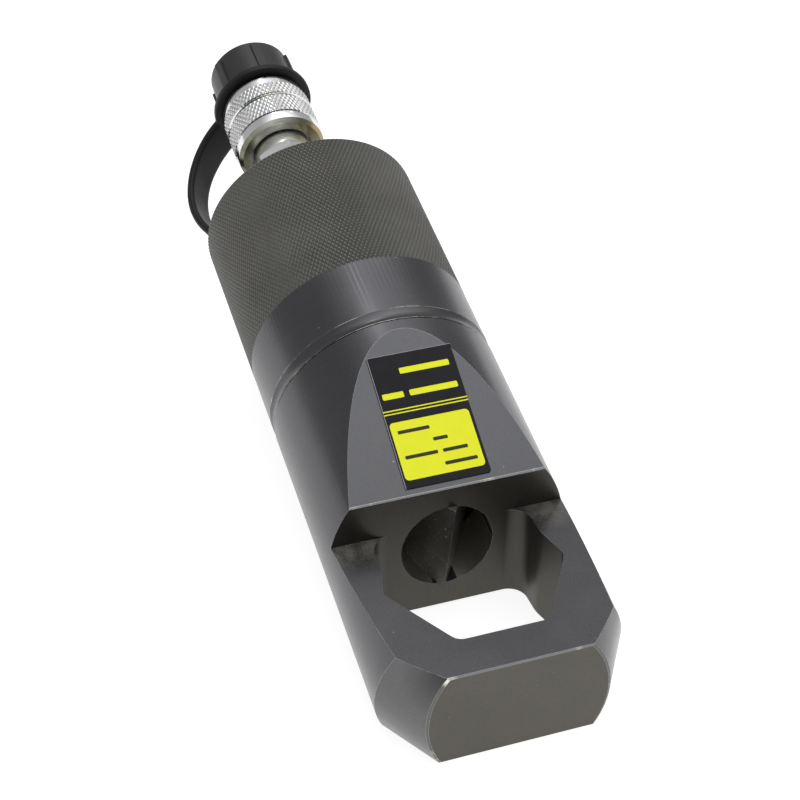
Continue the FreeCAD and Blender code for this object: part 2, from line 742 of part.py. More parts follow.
def strap_route():
    """Centre line of the strap's band as (along, outward) points of three tangent arcs.

    The long middle arc has the radius that brings the band from the cap's ring to the tail ring.
    """
    leave = math.radians(STRAP_LEAVES_AT)
    arrive = math.radians(-STRAP_ARRIVES_AT)
    start_x = strap_ring_front() - STRAP_RING_LENGTH / 2
    start_r = (CAP_NECK_RADIUS + STRAP_RING_RADIUS) / 2
    headings = [math.radians(90), leave, arrive, math.radians(-90)]
    advance = [math.sin(first) - math.sin(last) for first, last in zip(headings, headings[1:])]
    run = -STRAP_TAIL_FROM_BARREL - start_x
    long_bend = (run - STRAP_FIRST_BEND * advance[0] - STRAP_LAST_BEND * advance[2]) / advance[1]
    radii = [STRAP_FIRST_BEND, long_bend, STRAP_LAST_BEND]
    arcs = []
    place = Vector(start_x, start_r, 0)
    for first, last, radius in zip(headings, headings[1:], radii):
        centre = place + Vector(math.sin(first), -math.cos(first), 0) * radius
        points = []
        for heading in (first, (first + last) / 2, last):
            points.append(centre + Vector(-math.sin(heading), math.cos(heading), 0) * radius)
        arcs.append(points)
        place = points[-1]
    return arcs


def cap_strap():
    """Rubber strap: a ring on the cap's neck, a band, and a ring on the coupler's shank."""
    arcs = strap_route()
    end = arcs[-1][-1]
    half = STRAP_THICKNESS / 2
    inner_radius = NECK_RADIUS + STRAP_TAIL_RING_GAP
    foot = Vector(end.x, inner_radius + STRAP_TAIL_RING_WIDTH / 2, 0)
    edges = [Part.Arc(*points).toShape() for points in arcs]
    edges.append(Part.makeLine(end, foot))
    start = arcs[0][0]
    section = Part.makePolygon(
        [
            start + Vector(a * half, 0, b * STRAP_WIDTH / 2)
            for a, b in ((-1, -1), (1, -1), (1, 1), (-1, 1), (-1, -1))
        ]
    )
    band = Part.Wire(edges).makePipeShell([section], True, False)
    band.rotate(ORIGIN, X_AXIS, STRAP_ANGLE)
    cap_front = strap_ring_front()
    cap_rear = cap_front - STRAP_RING_LENGTH
    cap_hole = CAP_NECK_RADIUS + STRAP_RING_GAP
    cap_end = ring(cap_rear, cap_front, cap_hole, STRAP_RING_RADIUS)
    tail_outer = inner_radius + STRAP_TAIL_RING_WIDTH
    tail_end = ring(end.x - half, end.x + half, inner_radius, tail_outer)
    band = band.cut(rod(cap_rear, cap_front, (cap_hole + STRAP_RING_RADIUS) / 2))
    return cap_end.fuse([band, tail_end]).removeSplitter()


def label_plate():
    """Thin plate stuck on the sloping flat of the head."""
    x_from = LABEL_FROM_APEX
    x_to = LABEL_FROM_APEX + LABEL_LENGTH
    low = LABEL_OFFSET - LABEL_WIDTH / 2
    high = LABEL_OFFSET + LABEL_WIDTH / 2
    corners = [(x_from, low), (x_to, low), (x_to, high), (x_from, high)]
    outline = rounded_outline([(x, y, LABEL_CORNER_RADIUS) for x, y in corners])
    plate = Part.Face(outline).extrude(Z_AXIS * LABEL_THICKNESS)
    plate.Placement = label_flat_frame()
    return plate


def build():
    parts = {
        "barrel": tilted(barrel()),
        "cutter_head": cutter_head(),
        "head_ring": tilted(head_ring()),
        "chisel_wiper": tilted(chisel_wiper()),
        "piston": tilted(piston()),
        "piston_seal": tilted(piston_seal()),
        "backup_ring": tilted(backup_ring()),
        "guide_ring": tilted(guide_ring()),
        "return_spring": tilted(return_spring()),
        "spring_seat": tilted(spring_seat()),
        "stop_sleeve": tilted(stop_sleeve()),
        "chisel": tilted(chisel()),
        "chisel_screw": tilted(chisel_screw()),
        "coupler_body": tilted(coupler_body()),
        "coupler_collar": tilted(coupler_collar()),
        "snap_ring": tilted(snap_ring()),
        "nose_ring": tilted(nose_ring()),
        "valve_seat": tilted(valve_seat()),
        "valve_poppet": tilted(valve_poppet()),
        "valve_spring": tilted(valve_spring()),
        "dust_cap": tilted(dust_cap()),
        "cap_strap": tilted(cap_strap()),
        "label_plate": tilted(label_plate()),
    }
    os.makedirs("parts", exist_ok=True)
    for name, shape in parts.items():
        shape.exportStep("parts/" + name + ".step")
        print(name, shape.ShapeType, len(shape.Solids), shape.isValid(), round(shape.Volume, 1))


build()
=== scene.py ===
import json
import math
from collections import namedtuple

import bmesh
import bpy
from mathutils import Matrix, Vector


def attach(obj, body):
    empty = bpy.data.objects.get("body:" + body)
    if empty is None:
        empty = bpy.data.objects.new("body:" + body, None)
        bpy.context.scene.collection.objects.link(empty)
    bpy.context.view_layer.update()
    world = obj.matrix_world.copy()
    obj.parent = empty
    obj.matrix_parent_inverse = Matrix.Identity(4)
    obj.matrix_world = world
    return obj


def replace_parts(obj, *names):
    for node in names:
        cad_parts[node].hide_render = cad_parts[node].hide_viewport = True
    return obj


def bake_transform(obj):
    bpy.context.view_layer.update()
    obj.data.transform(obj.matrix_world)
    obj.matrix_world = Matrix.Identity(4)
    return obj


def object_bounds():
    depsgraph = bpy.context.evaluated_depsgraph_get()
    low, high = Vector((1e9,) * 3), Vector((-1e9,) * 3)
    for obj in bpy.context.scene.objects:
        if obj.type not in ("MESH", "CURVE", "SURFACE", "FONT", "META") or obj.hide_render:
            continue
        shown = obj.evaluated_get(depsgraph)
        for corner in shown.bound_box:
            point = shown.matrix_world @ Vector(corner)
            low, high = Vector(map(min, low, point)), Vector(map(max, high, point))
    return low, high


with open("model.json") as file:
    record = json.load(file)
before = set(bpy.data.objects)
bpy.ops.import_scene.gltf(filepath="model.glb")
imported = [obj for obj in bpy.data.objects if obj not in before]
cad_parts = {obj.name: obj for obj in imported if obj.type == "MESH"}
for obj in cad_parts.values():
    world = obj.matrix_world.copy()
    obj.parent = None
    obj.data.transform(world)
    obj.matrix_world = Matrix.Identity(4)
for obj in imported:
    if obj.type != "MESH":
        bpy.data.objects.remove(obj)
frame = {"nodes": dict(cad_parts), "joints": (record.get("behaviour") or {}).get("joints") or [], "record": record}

# Looks of a hydraulic nut splitter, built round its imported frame.
# Meshes are drawn in millimetres in the tool-axis frame. Its X is the tool axis, which runs from the rear
# face of the barrel to the tip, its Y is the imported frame's Y, and its Z is up and square to the axis.
MM = 0.001
PER_MM = 1 / MM

# Camera at the photograph's angle
CAMERA_PLACE = (0.3078857, -0.1226136, 0.3294674)
CAMERA_TURN = (53.1505, -0.1180, 71.5922)
CAMERA_LENS = 81.2414
CAMERA_SENSOR = 36.0
CAMERA_CLIP = 0.01

# Width of softened edges, on the turned meshes and then on finer copies of the solids
EDGE_SOFTENING = 0.14
HEAD_SOFTENING = 0.32
CHISEL_SOFTENING = 0.08
COUPLER_SOFTENING = 0.15
CAP_SOFTENING = 0.4

# Cleaning of a solid's mesh: how near its merged points lie, and the angle in degrees below which faces join
MERGE_DISTANCE = 0.001
FLAT_ANGLE = 0.4

# Angles in degrees above which an edge is shaded sharp
SHARP_TURNED = 24.0
SHARP_SOFTENED = 50.0
SHARP_MOULDED = 60.0

# Head: how far its broken end edge reaches back, and the level above which its broken step edge lies
END_EDGE = 0.3
STEP_EDGE_LEVEL = 30.0

# Head: distances from the axis beyond which its turned body and its cone lie, and where its end lies
BODY_FACES_FROM = 30.0
CONE_FACES_FROM = 22.0
END_FACES_FROM = 140.0

# Head: cosines that tell which way a face looks
LEVEL = 0.94
SQUARE = 0.05
SQUARE_TO_LENGTH = 0.999
STRAIGHT_OUT = 0.98
STRAIGHT_IN = -0.9
BROKEN_EDGE = (0.5, 0.97)
CONE_OUT = 0.6
CONE_AHEAD = (0.3, 0.7)

# Knurls: diamonds to a turn, their depth, and their length along the axis as a share of their width
BARREL_KNURL_COUNT = 152
BARREL_KNURL_DEPTH = 0.2
BARREL_KNURL_STRETCH = 1.64
BARREL_KNURL_FROM = 1.3
BARREL_KNURL_TO = 51.5
COLLAR_KNURL_COUNT = 60
COLLAR_KNURL_DEPTH = 0.18
COLLAR_KNURL_STRETCH = 1.72

# Flat tip of a diamond, as a share of its width
KNURL_TIP = 0.36

# Barrel
BARREL_LENGTH = 75.0
BARREL_BORE_RADIUS = 26.0
BARREL_REAR_WALL = 12.0
SPIGOT_RADIUS = 28.0
PORT_RADIUS = 8.4
PORT_DEPTH = 9.0
PASSAGE_RADIUS = 3.0
BAND_SINK = 0.04
REAR_CHAMFER = 1.0
RECESS_LENGTH = 4.0
RECESS_DEPTH = 0.55
RECESS_STEPS = 10

# Collar of the coupler, its places measured back from its front face
COLLAR_BEVEL = 1.0
COLLAR_FRONT_RADIUS = 12.7
COLLAR_PLAIN_RADIUS = 13.7
COLLAR_PLAIN_LENGTH = 3.3
COLLAR_BAND_LENGTH = 7.5
COLLAR_GROOVE_WIDTH = 1.2
COLLAR_GROOVE_DEPTH = 0.6
COLLAR_LIP = 3.4
COLLAR_NECK_BORE = 9.6
COLLAR_INNER_RADIUS = 11.0
COLLAR_THREAD_RADIUS = 11.8
COLLAR_THREAD_LENGTH = 11.6
COLLAR_SHOULDER = 2.3

# Strap between the dust cap and the coupler's neck
STRAP_ANGLE = 214.5
STRAP_WIDTH = 9.2
STRAP_THICKNESS = 2.0
STRAP_LEAVES_AT = 68.0
STRAP_ARRIVES_AT = 30.0
STRAP_FIRST_BEND = 3.1
STRAP_TAIL_FROM_BARREL = 6.7
STRAP_LAST_BEND = 15.8
STRAP_RING_FRONT = -53.8
STRAP_RING_LENGTH = 2.5
STRAP_RING_BORE = 12.1
STRAP_RING_RADIUS = 15.8
STRAP_TAIL_BORE = 9.0
STRAP_TAIL_RADIUS = 13.2
STRAP_RING_ROUNDING = 0.5
STRAP_CORNER_SHARE = 0.42
STRAP_STEP = 1.2
STRAP_VOXEL = 0.3
STRAP_SMOOTHING = 0.5
STRAP_SMOOTHING_ROUNDS = 6
STRAP_SMOOTHING_LOSS = 0.5
STRAP_FLARE = 0.2
STRAP_FLARE_LENGTH = 26.0

# Springs
RETURN_COIL = {"outer": 19.4, "radial": 3.4, "axial": 3.0, "turns": 6.5}
VALVE_COIL = {"outer": 4.6, "radial": 0.8, "axial": 0.8, "turns": 4.0}
COIL_STEPS = 48
COIL_CORNER_SHARE = 0.2

# Segments of a ring, and points on each corner of a rounded outline
RING_SEGMENTS = 96
RING_CORNER_POINTS = 4
BAND_CORNER_POINTS = 5
COIL_CORNER_POINTS = 3
PRINT_CORNER_POINTS = 7

# Label on the sloping flat
LABEL_SLOPE = 17.0
PRINT_THICKNESS = 0.02

# Print on the label, in shares of its width from the left and of its length from the top: lines, panel and
# rims as (across, down) spans, and bars as (left, right, top)
LABEL_LINES = (((0.0, 1.0), (0.417, 0.426)), ((0.0, 1.0), (0.441, 0.45)))
LABEL_PANEL = ((0.03, 0.965), (0.51, 0.943))
LABEL_RIMS = (((0.0, 1.0), (0.0, 0.004)), ((0.0, 0.008), (0.0, 1.0)))
LABEL_INK_BARS = (
    (0.1, 0.47, 0.575),
    (0.47, 0.64, 0.67),
    (0.1, 0.48, 0.765),
    (0.54, 0.83, 0.765),
    (0.52, 0.9, 0.86),
)
LABEL_INK_BAR_HEIGHT = 0.026
LABEL_YELLOW_BARS = ((0.33, 0.92, 0.115), (0.05, 0.3, 0.29), (0.37, 0.94, 0.29))
LABEL_YELLOW_BAR_HEIGHT = 0.045

# Corner radii of the print
LINE_CORNER = 0.05
PANEL_CORNER = 1.1
INK_BAR_CORNER = 0.25
YELLOW_BAR_CORNER = 0.35
RIM_CORNER = 0.04

# Brightness of blackened steel
OXIDE = 0.092

# Places in the tool-axis frame, most of them with their reach: a worn corner of the ring, a corner of the step
# that is worn and carries a painted glint, painted glints at the recess, and a spot of painted shade on the cone
RING_CORNER = (175.6, -18.5, 18.0)
STEP_CORNER = (126.7, -25.0, 17.3)
RECESS_GLINTS = (((74.6, -7.6, 30.8), 5.0), ((70.8, -11.6, 29.5), 5.0))
CONE_PAINTED_SHADE = ((174.0, -20.5, 14.5), 9.0)

# Dust and painted light on the ring beside the step, a lighter brown that lifts the shade by the step wall: its
# places with their reach, and its colour
STEP_DUST_AND_PAINTED_LIGHT = (((126.5, -28.0, 7.7), 10.0), ((126.5, -21.0, 7.7), 9.5), ((126.5, 26.0, 7.7), 9.5))
DUST_AND_LIGHT_COLOUR = (0.14, 0.132, 0.11)

# Collar's front face: where its film carries a painted highlight and where it carries a painted golden sheen, with
# their reach
FILM_PAINTED_HIGHLIGHT = ((-31.4, -3.7, 12.4), 9.0)
FILM_PAINTED_GOLD_SHEEN = ((-31.4, 11.1, 8.1), 8.0)

# Studio dome: the way to its light, the cosine at that light's edge, its falloff, its strengths and its tint
DOME_LIGHT = (-0.13, 0.224, 0.966)
DOME_LIGHT_EDGE = 0.58
DOME_FALLOFF = 2.6
DOME_LOW = 0.48
DOME_HIGH = 2.25
DOME_TINT = (0.97, 0.98, 1.0, 1)

# Softboxes: azimuth and elevation in degrees, size in metres, and power
SOFTBOXES = (("softbox_rear", 178, 56, 0.12, 0.6), ("softbox_side", 143, 37, 0.06, 0.04))
SOFTBOX_DISTANCE = 1.2

# Floor: half its side in metres, its glow, and how far below the base it lies
FLOOR_REACH = 6.0
FLOOR_GLOW = 0.85
FLOOR_GAP = 0.05

JOINTS = {joint["name"]: joint for joint in frame["joints"]}
SLOTS = {part["node"]: part["material_slot"] for part in frame["record"]["subparts"]}


def tool_frame():
    """Matrix from the tool-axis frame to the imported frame, both in metres."""
    along = Vector(JOINTS["ram_slide"]["axis"]).normalized()
    across = Vector((0, 1, 0))
    up = along.cross(across)
    on_axis = Vector(JOINTS["collar_spin"]["pos_m"])
    rear = min((v.co - on_axis).dot(along) for v in frame["nodes"]["barrel"].data.vertices)
    turn = Matrix((along, across, up)).transposed().to_4x4()
    return Matrix.Translation(on_axis + along * rear) @ turn


TOOL = tool_frame()
HEAD_FRONT = max(v.co.x for v in frame["nodes"]["cutter_head"].data.vertices) * PER_MM


def local_points(node, matrix=TOOL):
    """Vertices of a CAD node in a frame of its own, in millimetres."""
    back = matrix.inverted()
    return [(back @ v.co) * PER_MM for v in frame["nodes"][node].data.vertices]


def reach(node):
    """Lowest and highest place of a CAD node along the tool axis."""
    along = [p.x for p in local_points(node)]
    return min(along), max(along)


def outer_radius(node):
    """Largest distance of a CAD node from the tool axis."""
    return max(math.hypot(p.y, p.z) for p in local_points(node))


# Shader building
NEUTRAL = (1.0, 1.0, 1.0)
COOL = (1.0, 0.995, 1.045)
WARM = (1.06, 1.0, 0.88)
OLIVE = (1.02, 1.0, 0.9)

# Shares by which a grain is stretched along each axis
UPRIGHT = (1, 1, 0.08)


def tinted(value, tint=NEUTRAL):
    """A grey of that brightness in that tint."""
    return tuple(value * share for share in tint)


class Look:
    """A material under construction: short calls that add shader nodes and link them.

    Its textures lie in the tool-axis frame, in millimetres.
    """

    def __init__(self, name):
        self.material = bpy.data.materials.new(name)
        self.material.use_nodes = True
        self.tree = self.material.node_tree
        self.shader = self.tree.nodes["Principled BSDF"]
        back = TOOL.inverted()
        inputs = {
            "Vector": self.node("ShaderNodeTexCoord").outputs["Object"],
            "Location": back.translation * PER_MM,
            "Rotation": back.to_euler(),
            "Scale": (PER_MM, PER_MM, PER_MM),
        }
        self.place = self.node("ShaderNodeMapping", inputs).outputs["Vector"]

    def node(self, kind, inputs=(), **settings):
        node = self.tree.nodes.new(kind)
        for name, value in settings.items():
            setattr(node, name, value)
        for name, value in dict(inputs).items():
            self.put(node.inputs[name], value)
        return node

    def put(self, socket, value):
        if isinstance(value, bpy.types.NodeSocket):
            self.tree.links.new(value, socket)
        else:
            socket.default_value = value

    def set(self, **sockets):
        for name, value in sockets.items():
            self.put(self.shader.inputs[name.replace("_", " ")], value)

    def noise(self, per_mm, stretch=(1, 1, 1), detail=3.0, roughness=0.55, place=None):
        """Noise with about that many features to the millimetre along each axis."""
        sizes = [per_mm * share for share in stretch]
        inputs = {"Vector": place or self.place, "Scale": sizes}
        vector = self.node("ShaderNodeMapping", inputs).outputs["Vector"]
        inputs = {"Vector": vector, "Scale": 1.0, "Detail": detail, "Roughness": roughness}
        return self.node("ShaderNodeTexNoise", inputs).outputs["Fac"]

    def turning(self, per_mm, detail=2.0):
        """Noise in rings round the tool axis, on cylinders and on end faces alike."""
        parts = self.node("ShaderNodeSeparateXYZ", {"Vector": self.place}).outputs
        radial = self.node("ShaderNodeCombineXYZ", {"Y": parts["Y"], "Z": parts["Z"]}).outputs[0]
        length = self.node("ShaderNodeVectorMath", {0: radial}, operation="LENGTH").outputs["Value"]
        rings = self.node("ShaderNodeCombineXYZ", {"X": parts["X"], "Y": length}).outputs[0]
        return self.noise(per_mm, detail=detail, place=rings)

    def near(self, spot, reach_mm):
        """1 at a place of the tool-axis frame, falling to 0 at that distance from it."""
        away = self.node("ShaderNodeVectorMath", {0: self.place, 1: spot}, operation="DISTANCE")
        return self.span(away.outputs["Value"], 0.0, reach_mm, 1.0, 0.0)

    def nearest(self, spots):
        """The highest value of near over several places, each with its distance."""
        value = self.near(*spots[0])
        for spot, reach_mm in spots[1:]:
            value = self.math("MAXIMUM", value, self.near(spot, reach_mm))
        return value

    def span(self, value, low, high, out_low=0.0, out_high=1.0):
        inputs = {"Value": value, "From Min": low, "From Max": high, "To Min": out_low, "To Max": out_high}
        return self.node("ShaderNodeMapRange", inputs).outputs["Result"]

    def math(self, operation, a, b):
        return self.node("ShaderNodeMath", {0: a, 1: b}, operation=operation).outputs[0]

    def mix(self, factor, a, b):
        """Colour a where the factor is 0 and colour b where it is 1."""
        node = self.node("ShaderNodeMix", data_type="RGBA")
        self.put(node.inputs[0], factor)
        self.put(node.inputs[6], a if isinstance(a, bpy.types.NodeSocket) else (*a, 1))
        self.put(node.inputs[7], b if isinstance(b, bpy.types.NodeSocket) else (*b, 1))
        return node.outputs[2]

    def bump(self, height, depth_mm):
        """Relief of that depth, added to any relief that the shader already has."""
        normal = self.shader.inputs["Normal"]
        inputs = {"Height": height, "Distance": depth_mm * MM, "Strength": 1.0}
        if normal.is_linked:
            inputs["Normal"] = normal.links[0].from_socket
        self.put(normal, self.node("ShaderNodeBump", inputs).outputs["Normal"])


def black_oxide(
    name, shade, tint=COOL, rough=0.27, turned=False, stain=0.3, painted_shade_spot=None, grain=(1, 1, 1), dusty_and_lit=()
):
    """Blackened steel: stipple, tool marks, faint clouds, brown stains and a few bright nicks.

    It is darker by a share near one given spot, which is painted shade, and a lighter brown near each of a list of
    spots, which is dust and painted light.
    """
    look = Look(name)
    clouds = look.noise(0.045, detail=4.0)
    stipple = look.noise(3.2, detail=3.0, roughness=0.7)
    marks = look.turning(2.6) if turned else look.noise(1.4, grain, detail=2.0)
    base = look.mix(look.span(clouds, 0.35, 0.68), tinted(shade * 0.92, tint), tinted(shade * 1.07, tint))
    brown = look.math("MULTIPLY", look.span(look.noise(0.09, detail=5.0), 0.56, 0.76), stain)
    base = look.mix(brown, base, (shade * 1.25, shade * 1.08, shade * 0.82))
    base = look.mix(look.span(stipple, 0.35, 0.7, 0.0, 0.3), base, tinted(shade * 1.45, tint))
    base = look.mix(look.span(marks, 0.35, 0.7, 0.0, 0.2), base, tinted(shade * 0.7, tint))
    # Painted shade: darker round the given spot
    if painted_shade_spot:
        spot, share = painted_shade_spot
        patchy = look.span(clouds, 0.3, 0.6, share * 0.8, share)
        painted_shade_mask = look.math("MULTIPLY", look.near(*spot), patchy)
        base = look.mix(painted_shade_mask, base, tinted(shade * 0.3, tint))
    nicks = look.span(look.noise(0.8, detail=2.0, roughness=0.4), 0.785, 0.81)
    base = look.mix(nicks, base, tinted(0.32, WARM))
    metal = 1.0
    # Dust and painted light: a lighter brown, less metallic, round the given spots
    if dusty_and_lit:
        patchy = look.span(look.noise(0.5, detail=5.0), 0.3, 0.6, 0.5, 1.0)
        dust_and_light = look.span(look.math("MULTIPLY", look.nearest(dusty_and_lit), patchy), 0.0, 0.8)
        base = look.mix(dust_and_light, base, DUST_AND_LIGHT_COLOUR)
        metal = look.span(dust_and_light, 0.0, 1.0, 1.0, 0.0)
    look.set(Base_Color=base, Metallic=metal)
    worn = look.span(stipple, 0.3, 0.75, rough - 0.04, rough + 0.07)
    look.set(Roughness=look.math("ADD", worn, look.span(clouds, 0.3, 0.7, -0.03, 0.05)))
    look.bump(marks, 0.001)
    look.bump(stipple, 0.0022)
    return look.material


def worn_edge(name, bare, oxide, share, spots=()):
    """Edge where the black finish has rubbed off in places, and bright all round the named spots, which are worn
    places and painted glints.
    """
    look = Look(name)
    patches = look.noise(0.2, detail=5.0, roughness=0.65)
    rubbed_and_glints = look.span(patches, share - 0.08, share + 0.14)
    # Named spots: worn corners and painted glints
    for spot, reach_mm in spots:
        rubbed_and_glints = look.math("MAXIMUM", rubbed_and_glints, look.span(look.near(spot, reach_mm), 0.2, 0.6))
    base = look.mix(rubbed_and_glints, tinted(oxide, NEUTRAL), (bare, bare * 0.95, bare * 0.86))
    look.set(Base_Color=base, Metallic=1.0)
    look.set(Roughness=look.span(rubbed_and_glints, 0.0, 1.0, 0.38, 0.26))
    look.bump(look.noise(1.5, detail=3.0), 0.004)
    return look.material


def knurl_oxide(name, shade, rough, light):
    """Blackened knurl with oil, and with specks of dust that are lighter by that factor."""
    look = Look(name)
    clouds = look.noise(0.05, detail=4.0)
    speck = look.noise(1.3, detail=4.0, roughness=0.7)
    base = look.mix(look.span(clouds, 0.35, 0.65), tinted(shade * 0.88, OLIVE), tinted(shade * 1.12, OLIVE))
    base = look.mix(look.span(speck, 0.5, 0.8, 0.0, 0.6), base, tinted(shade * light, OLIVE))
    look.set(Base_Color=base, Metallic=0.7, Roughness=look.span(speck, 0.3, 0.7, rough, rough + 0.15))
    look.bump(speck, 0.006)
    return look.material


def zinc(name, shade, rough, turned=True, dull=None):
    """Bright zinc plating, with turning marks round the axis where it is turned.

    Where dull is given, its first two values are the places on the axis between which the plating goes
    dull, and its last is the share of brightness that is left.
    """
    look = Look(name)
    clouds = look.noise(0.12, detail=4.0)
    rings = look.turning(4.5) if turned else look.noise(2.0)
    base = look.mix(look.span(clouds, 0.3, 0.7), tinted(shade * 0.94), tinted(shade * 1.05))
    hue = look.span(look.noise(0.2, detail=2.0), 0.4, 0.7, 0.0, 0.3)
    base = look.mix(hue, base, (shade * 1.02, shade * 0.99, shade * 0.84))
    if dull:
        bright_to, dull_from, left = dull
        along = look.node("ShaderNodeSeparateXYZ", {"Vector": look.place}).outputs["X"]
        base = look.mix(look.span(along, bright_to, dull_from), base, tinted(shade * left, COOL))
    hazy = look.span(clouds, 0.3, 0.7, -0.04, 0.06)
    marked = look.span(rings, 0.3, 0.7, rough - 0.04, rough + 0.05)
    look.set(Base_Color=base, Metallic=1.0, Roughness=look.math("ADD", hazy, marked))
    look.bump(rings, 0.004)
    return look.material


def yellow_zinc(name):
    """Dull yellowish plating with an oily film on the collar's front face and bevel, with a painted golden sheen
    and a painted highlight on the face.
    """
    look = Look(name)
    clouds = look.noise(0.1, detail=3.0)
    rings = look.turning(3.0)
    base = look.mix(look.span(clouds, 0.4, 0.65), (0.13, 0.135, 0.1), (0.32, 0.31, 0.22))
    # Painted golden sheen, then a painted highlight, round their spots
    base = look.mix(look.near(*FILM_PAINTED_GOLD_SHEEN), base, (0.38, 0.3, 0.15))
    base = look.mix(look.near(*FILM_PAINTED_HIGHLIGHT), base, (0.98, 0.97, 0.88))
    base = look.mix(look.span(rings, 0.35, 0.7, 0.0, 0.35), base, (0.1, 0.1, 0.07))
    look.set(Base_Color=base, Metallic=1.0, Roughness=look.span(rings, 0.3, 0.7, 0.16, 0.26))
    look.bump(rings, 0.012)
    return look.material


def rubber(name, shade, rough, gloss):
    """Soft rubber with a faint bloom and pores."""
    look = Look(name)
    bloom = look.noise(0.12, detail=4.0)
    pores = look.noise(3.0, detail=3.0, roughness=0.7)
    base = look.mix(look.span(bloom, 0.35, 0.7), tinted(shade * 0.8), tinted(shade * 1.5))
    sheen = look.span(bloom, 0.3, 0.7, rough - 0.05, rough + 0.1)
    look.set(Base_Color=base, Metallic=0.0, Roughness=sheen, Specular_IOR_Level=gloss)
    look.bump(pores, 0.01)
    return look.material


def moulded(name, shade, rough):
    """Moulded plastic or hard rubber with a fine eroded texture."""
    look = Look(name)
    bloom = look.noise(0.1, detail=4.0)
    texture = look.noise(2.4, detail=4.0, roughness=0.75)
    base = look.mix(look.span(bloom, 0.3, 0.7), tinted(shade * 0.85, OLIVE), tinted(shade * 1.2, OLIVE))
    base = look.mix(look.span(texture, 0.5, 0.8, 0.0, 0.35), base, tinted(shade * 1.9, OLIVE))
    sheen = look.span(texture, 0.3, 0.7, rough - 0.08, rough + 0.1)
    look.set(Base_Color=base, Metallic=0.0, Roughness=sheen)
    look.bump(texture, 0.016)
    look.bump(look.noise(0.25, detail=2.0), 0.05)
    return look.material


def machined(name, shade, tint=NEUTRAL, rough=0.28, metallic=1.0):
    """Plain machined metal with turning marks."""
    look = Look(name)
    marks = look.turning(3.0, 3.0)
    clouds = look.noise(0.08, detail=4.0)
    base = look.mix(look.span(clouds, 0.3, 0.7), tinted(shade * 0.88, tint), tinted(shade * 1.1, tint))
    sheen = look.span(marks, 0.3, 0.7, rough - 0.05, rough + 0.12)
    look.set(Base_Color=base, Metallic=metallic, Roughness=sheen)
    look.bump(marks, 0.004)
    return look.material


def chisel_steel(name):
    """Oiled tool steel, ground along the wedge, with bright crumbs left by the last nut."""
    look = Look(name)
    marks = look.noise(2.2, (0.35, 1.0, 3.0), detail=3.0)
    oil = look.noise(0.12, detail=4.0)
    crumbs = look.span(look.noise(2.2, detail=2.0), 0.69, 0.73)
    base = look.mix(look.span(oil, 0.35, 0.65), tinted(0.07, OLIVE), tinted(0.13, WARM))
    base = look.mix(crumbs, base, tinted(0.9, NEUTRAL))
    look.set(Base_Color=base, Metallic=0.6, Roughness=look.span(marks, 0.3, 0.7, 0.3, 0.45))
    look.bump(marks, 0.006)
    return look.material


def vinyl(name, colour, rough=0.3, mottle=0.12, gloss=0.5):
    """Printed label film with the slight unevenness of a thin sticker."""
    look = Look(name)
    bloom = look.noise(0.2, detail=4.0)
    dark = tuple(c * (1 - mottle) for c in colour)
    light = tuple(min(1.0, c * (1 + mottle)) for c in colour)
    base = look.mix(look.span(bloom, 0.3, 0.7), dark, light)
    sheen = look.span(look.noise(1.2), 0.3, 0.7, rough - 0.05, rough + 0.08)
    look.set(Base_Color=base, Metallic=0.0, Roughness=sheen, Specular_IOR_Level=gloss)
    look.bump(look.noise(0.5, detail=2.0), 0.006)
    return look.material


def slot_looks():
    """One finish for each of the record's material slots."""
    return {
        "black_knurled": black_oxide("black_turned", OXIDE, turned=True),
        "black_ground": black_oxide("black_ground", OXIDE),
        "nitrile": rubber("nitrile_seal", 0.016, 0.38, 0.5),
        "plain_steel": machined("turned_steel", 0.55),
        "spring_steel": machined("spring_wire", 0.2, COOL, 0.32),
        "zinc_body": zinc("zinc_turned", 0.85, 0.3, dull=(-24.0, -20.0, 0.42)),
        "zinc_knurled": zinc("zinc_collar", 0.74, 0.12),
        "label": vinyl("label_black", (0.012, 0.011, 0.014), 0.3, 0.2, 0.12),
        "polyurethane": vinyl("polyurethane", (0.75, 0.55, 0.2), 0.35),
        "ptfe": vinyl("ptfe", (0.8, 0.8, 0.77), 0.4, 0.05),
        "bronze_filled": machined("bronze_filled", 0.3, (1.3, 1.0, 0.7), 0.45, 0.2),
        "tool_steel": chisel_steel("chisel_steel"),
        "black_screw": black_oxide("screw_black", 0.06),
        "poppet_steel": machined("poppet_steel", 0.75, NEUTRAL, 0.14),
        "strap_rubber": rubber("strap_rubber", 0.007, 0.5, 0.28),
        "cap_plastic": moulded("cap_plastic", 0.013, 0.42),
    }


LOOKS = slot_looks()


# Mesh building
def placed(name, data):
    """New object in the scene."""
    obj = bpy.data.objects.new(name, data)
    bpy.context.scene.collection.objects.link(obj)
    return obj


def piece(name, mesh, body, slot, *materials, matrix=TOOL):
    """Object from a mesh in the tool-axis frame, or in another with that matrix, riding on a body."""
    obj = placed(name, mesh)
    for material in materials:
        mesh.materials.append(material)
    mesh.transform(matrix)
    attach(obj, body)
    return obj


def mesh_from(name, points, faces, materials=None, sharp=30.0):
    """Mesh from points in millimetres, with outward normals and edges sharp above that angle."""
    mesh = bpy.data.meshes.new(name)
    mesh.from_pydata([Vector(p) * MM for p in points], [], faces)
    if materials:
        mesh.polygons.foreach_set("material_index", materials)
    bm = bmesh.new()
    bm.from_mesh(mesh)
    bmesh.ops.recalc_face_normals(bm, faces=bm.faces)
    bm.to_mesh(mesh)
    bm.free()
    shade(mesh, sharp)
    return mesh


def shade(mesh, sharp):
    """Smooth shading but for edges sharper than that angle."""
    mesh.shade_smooth()
    mesh.set_sharp_from_angle(angle=math.radians(sharp))


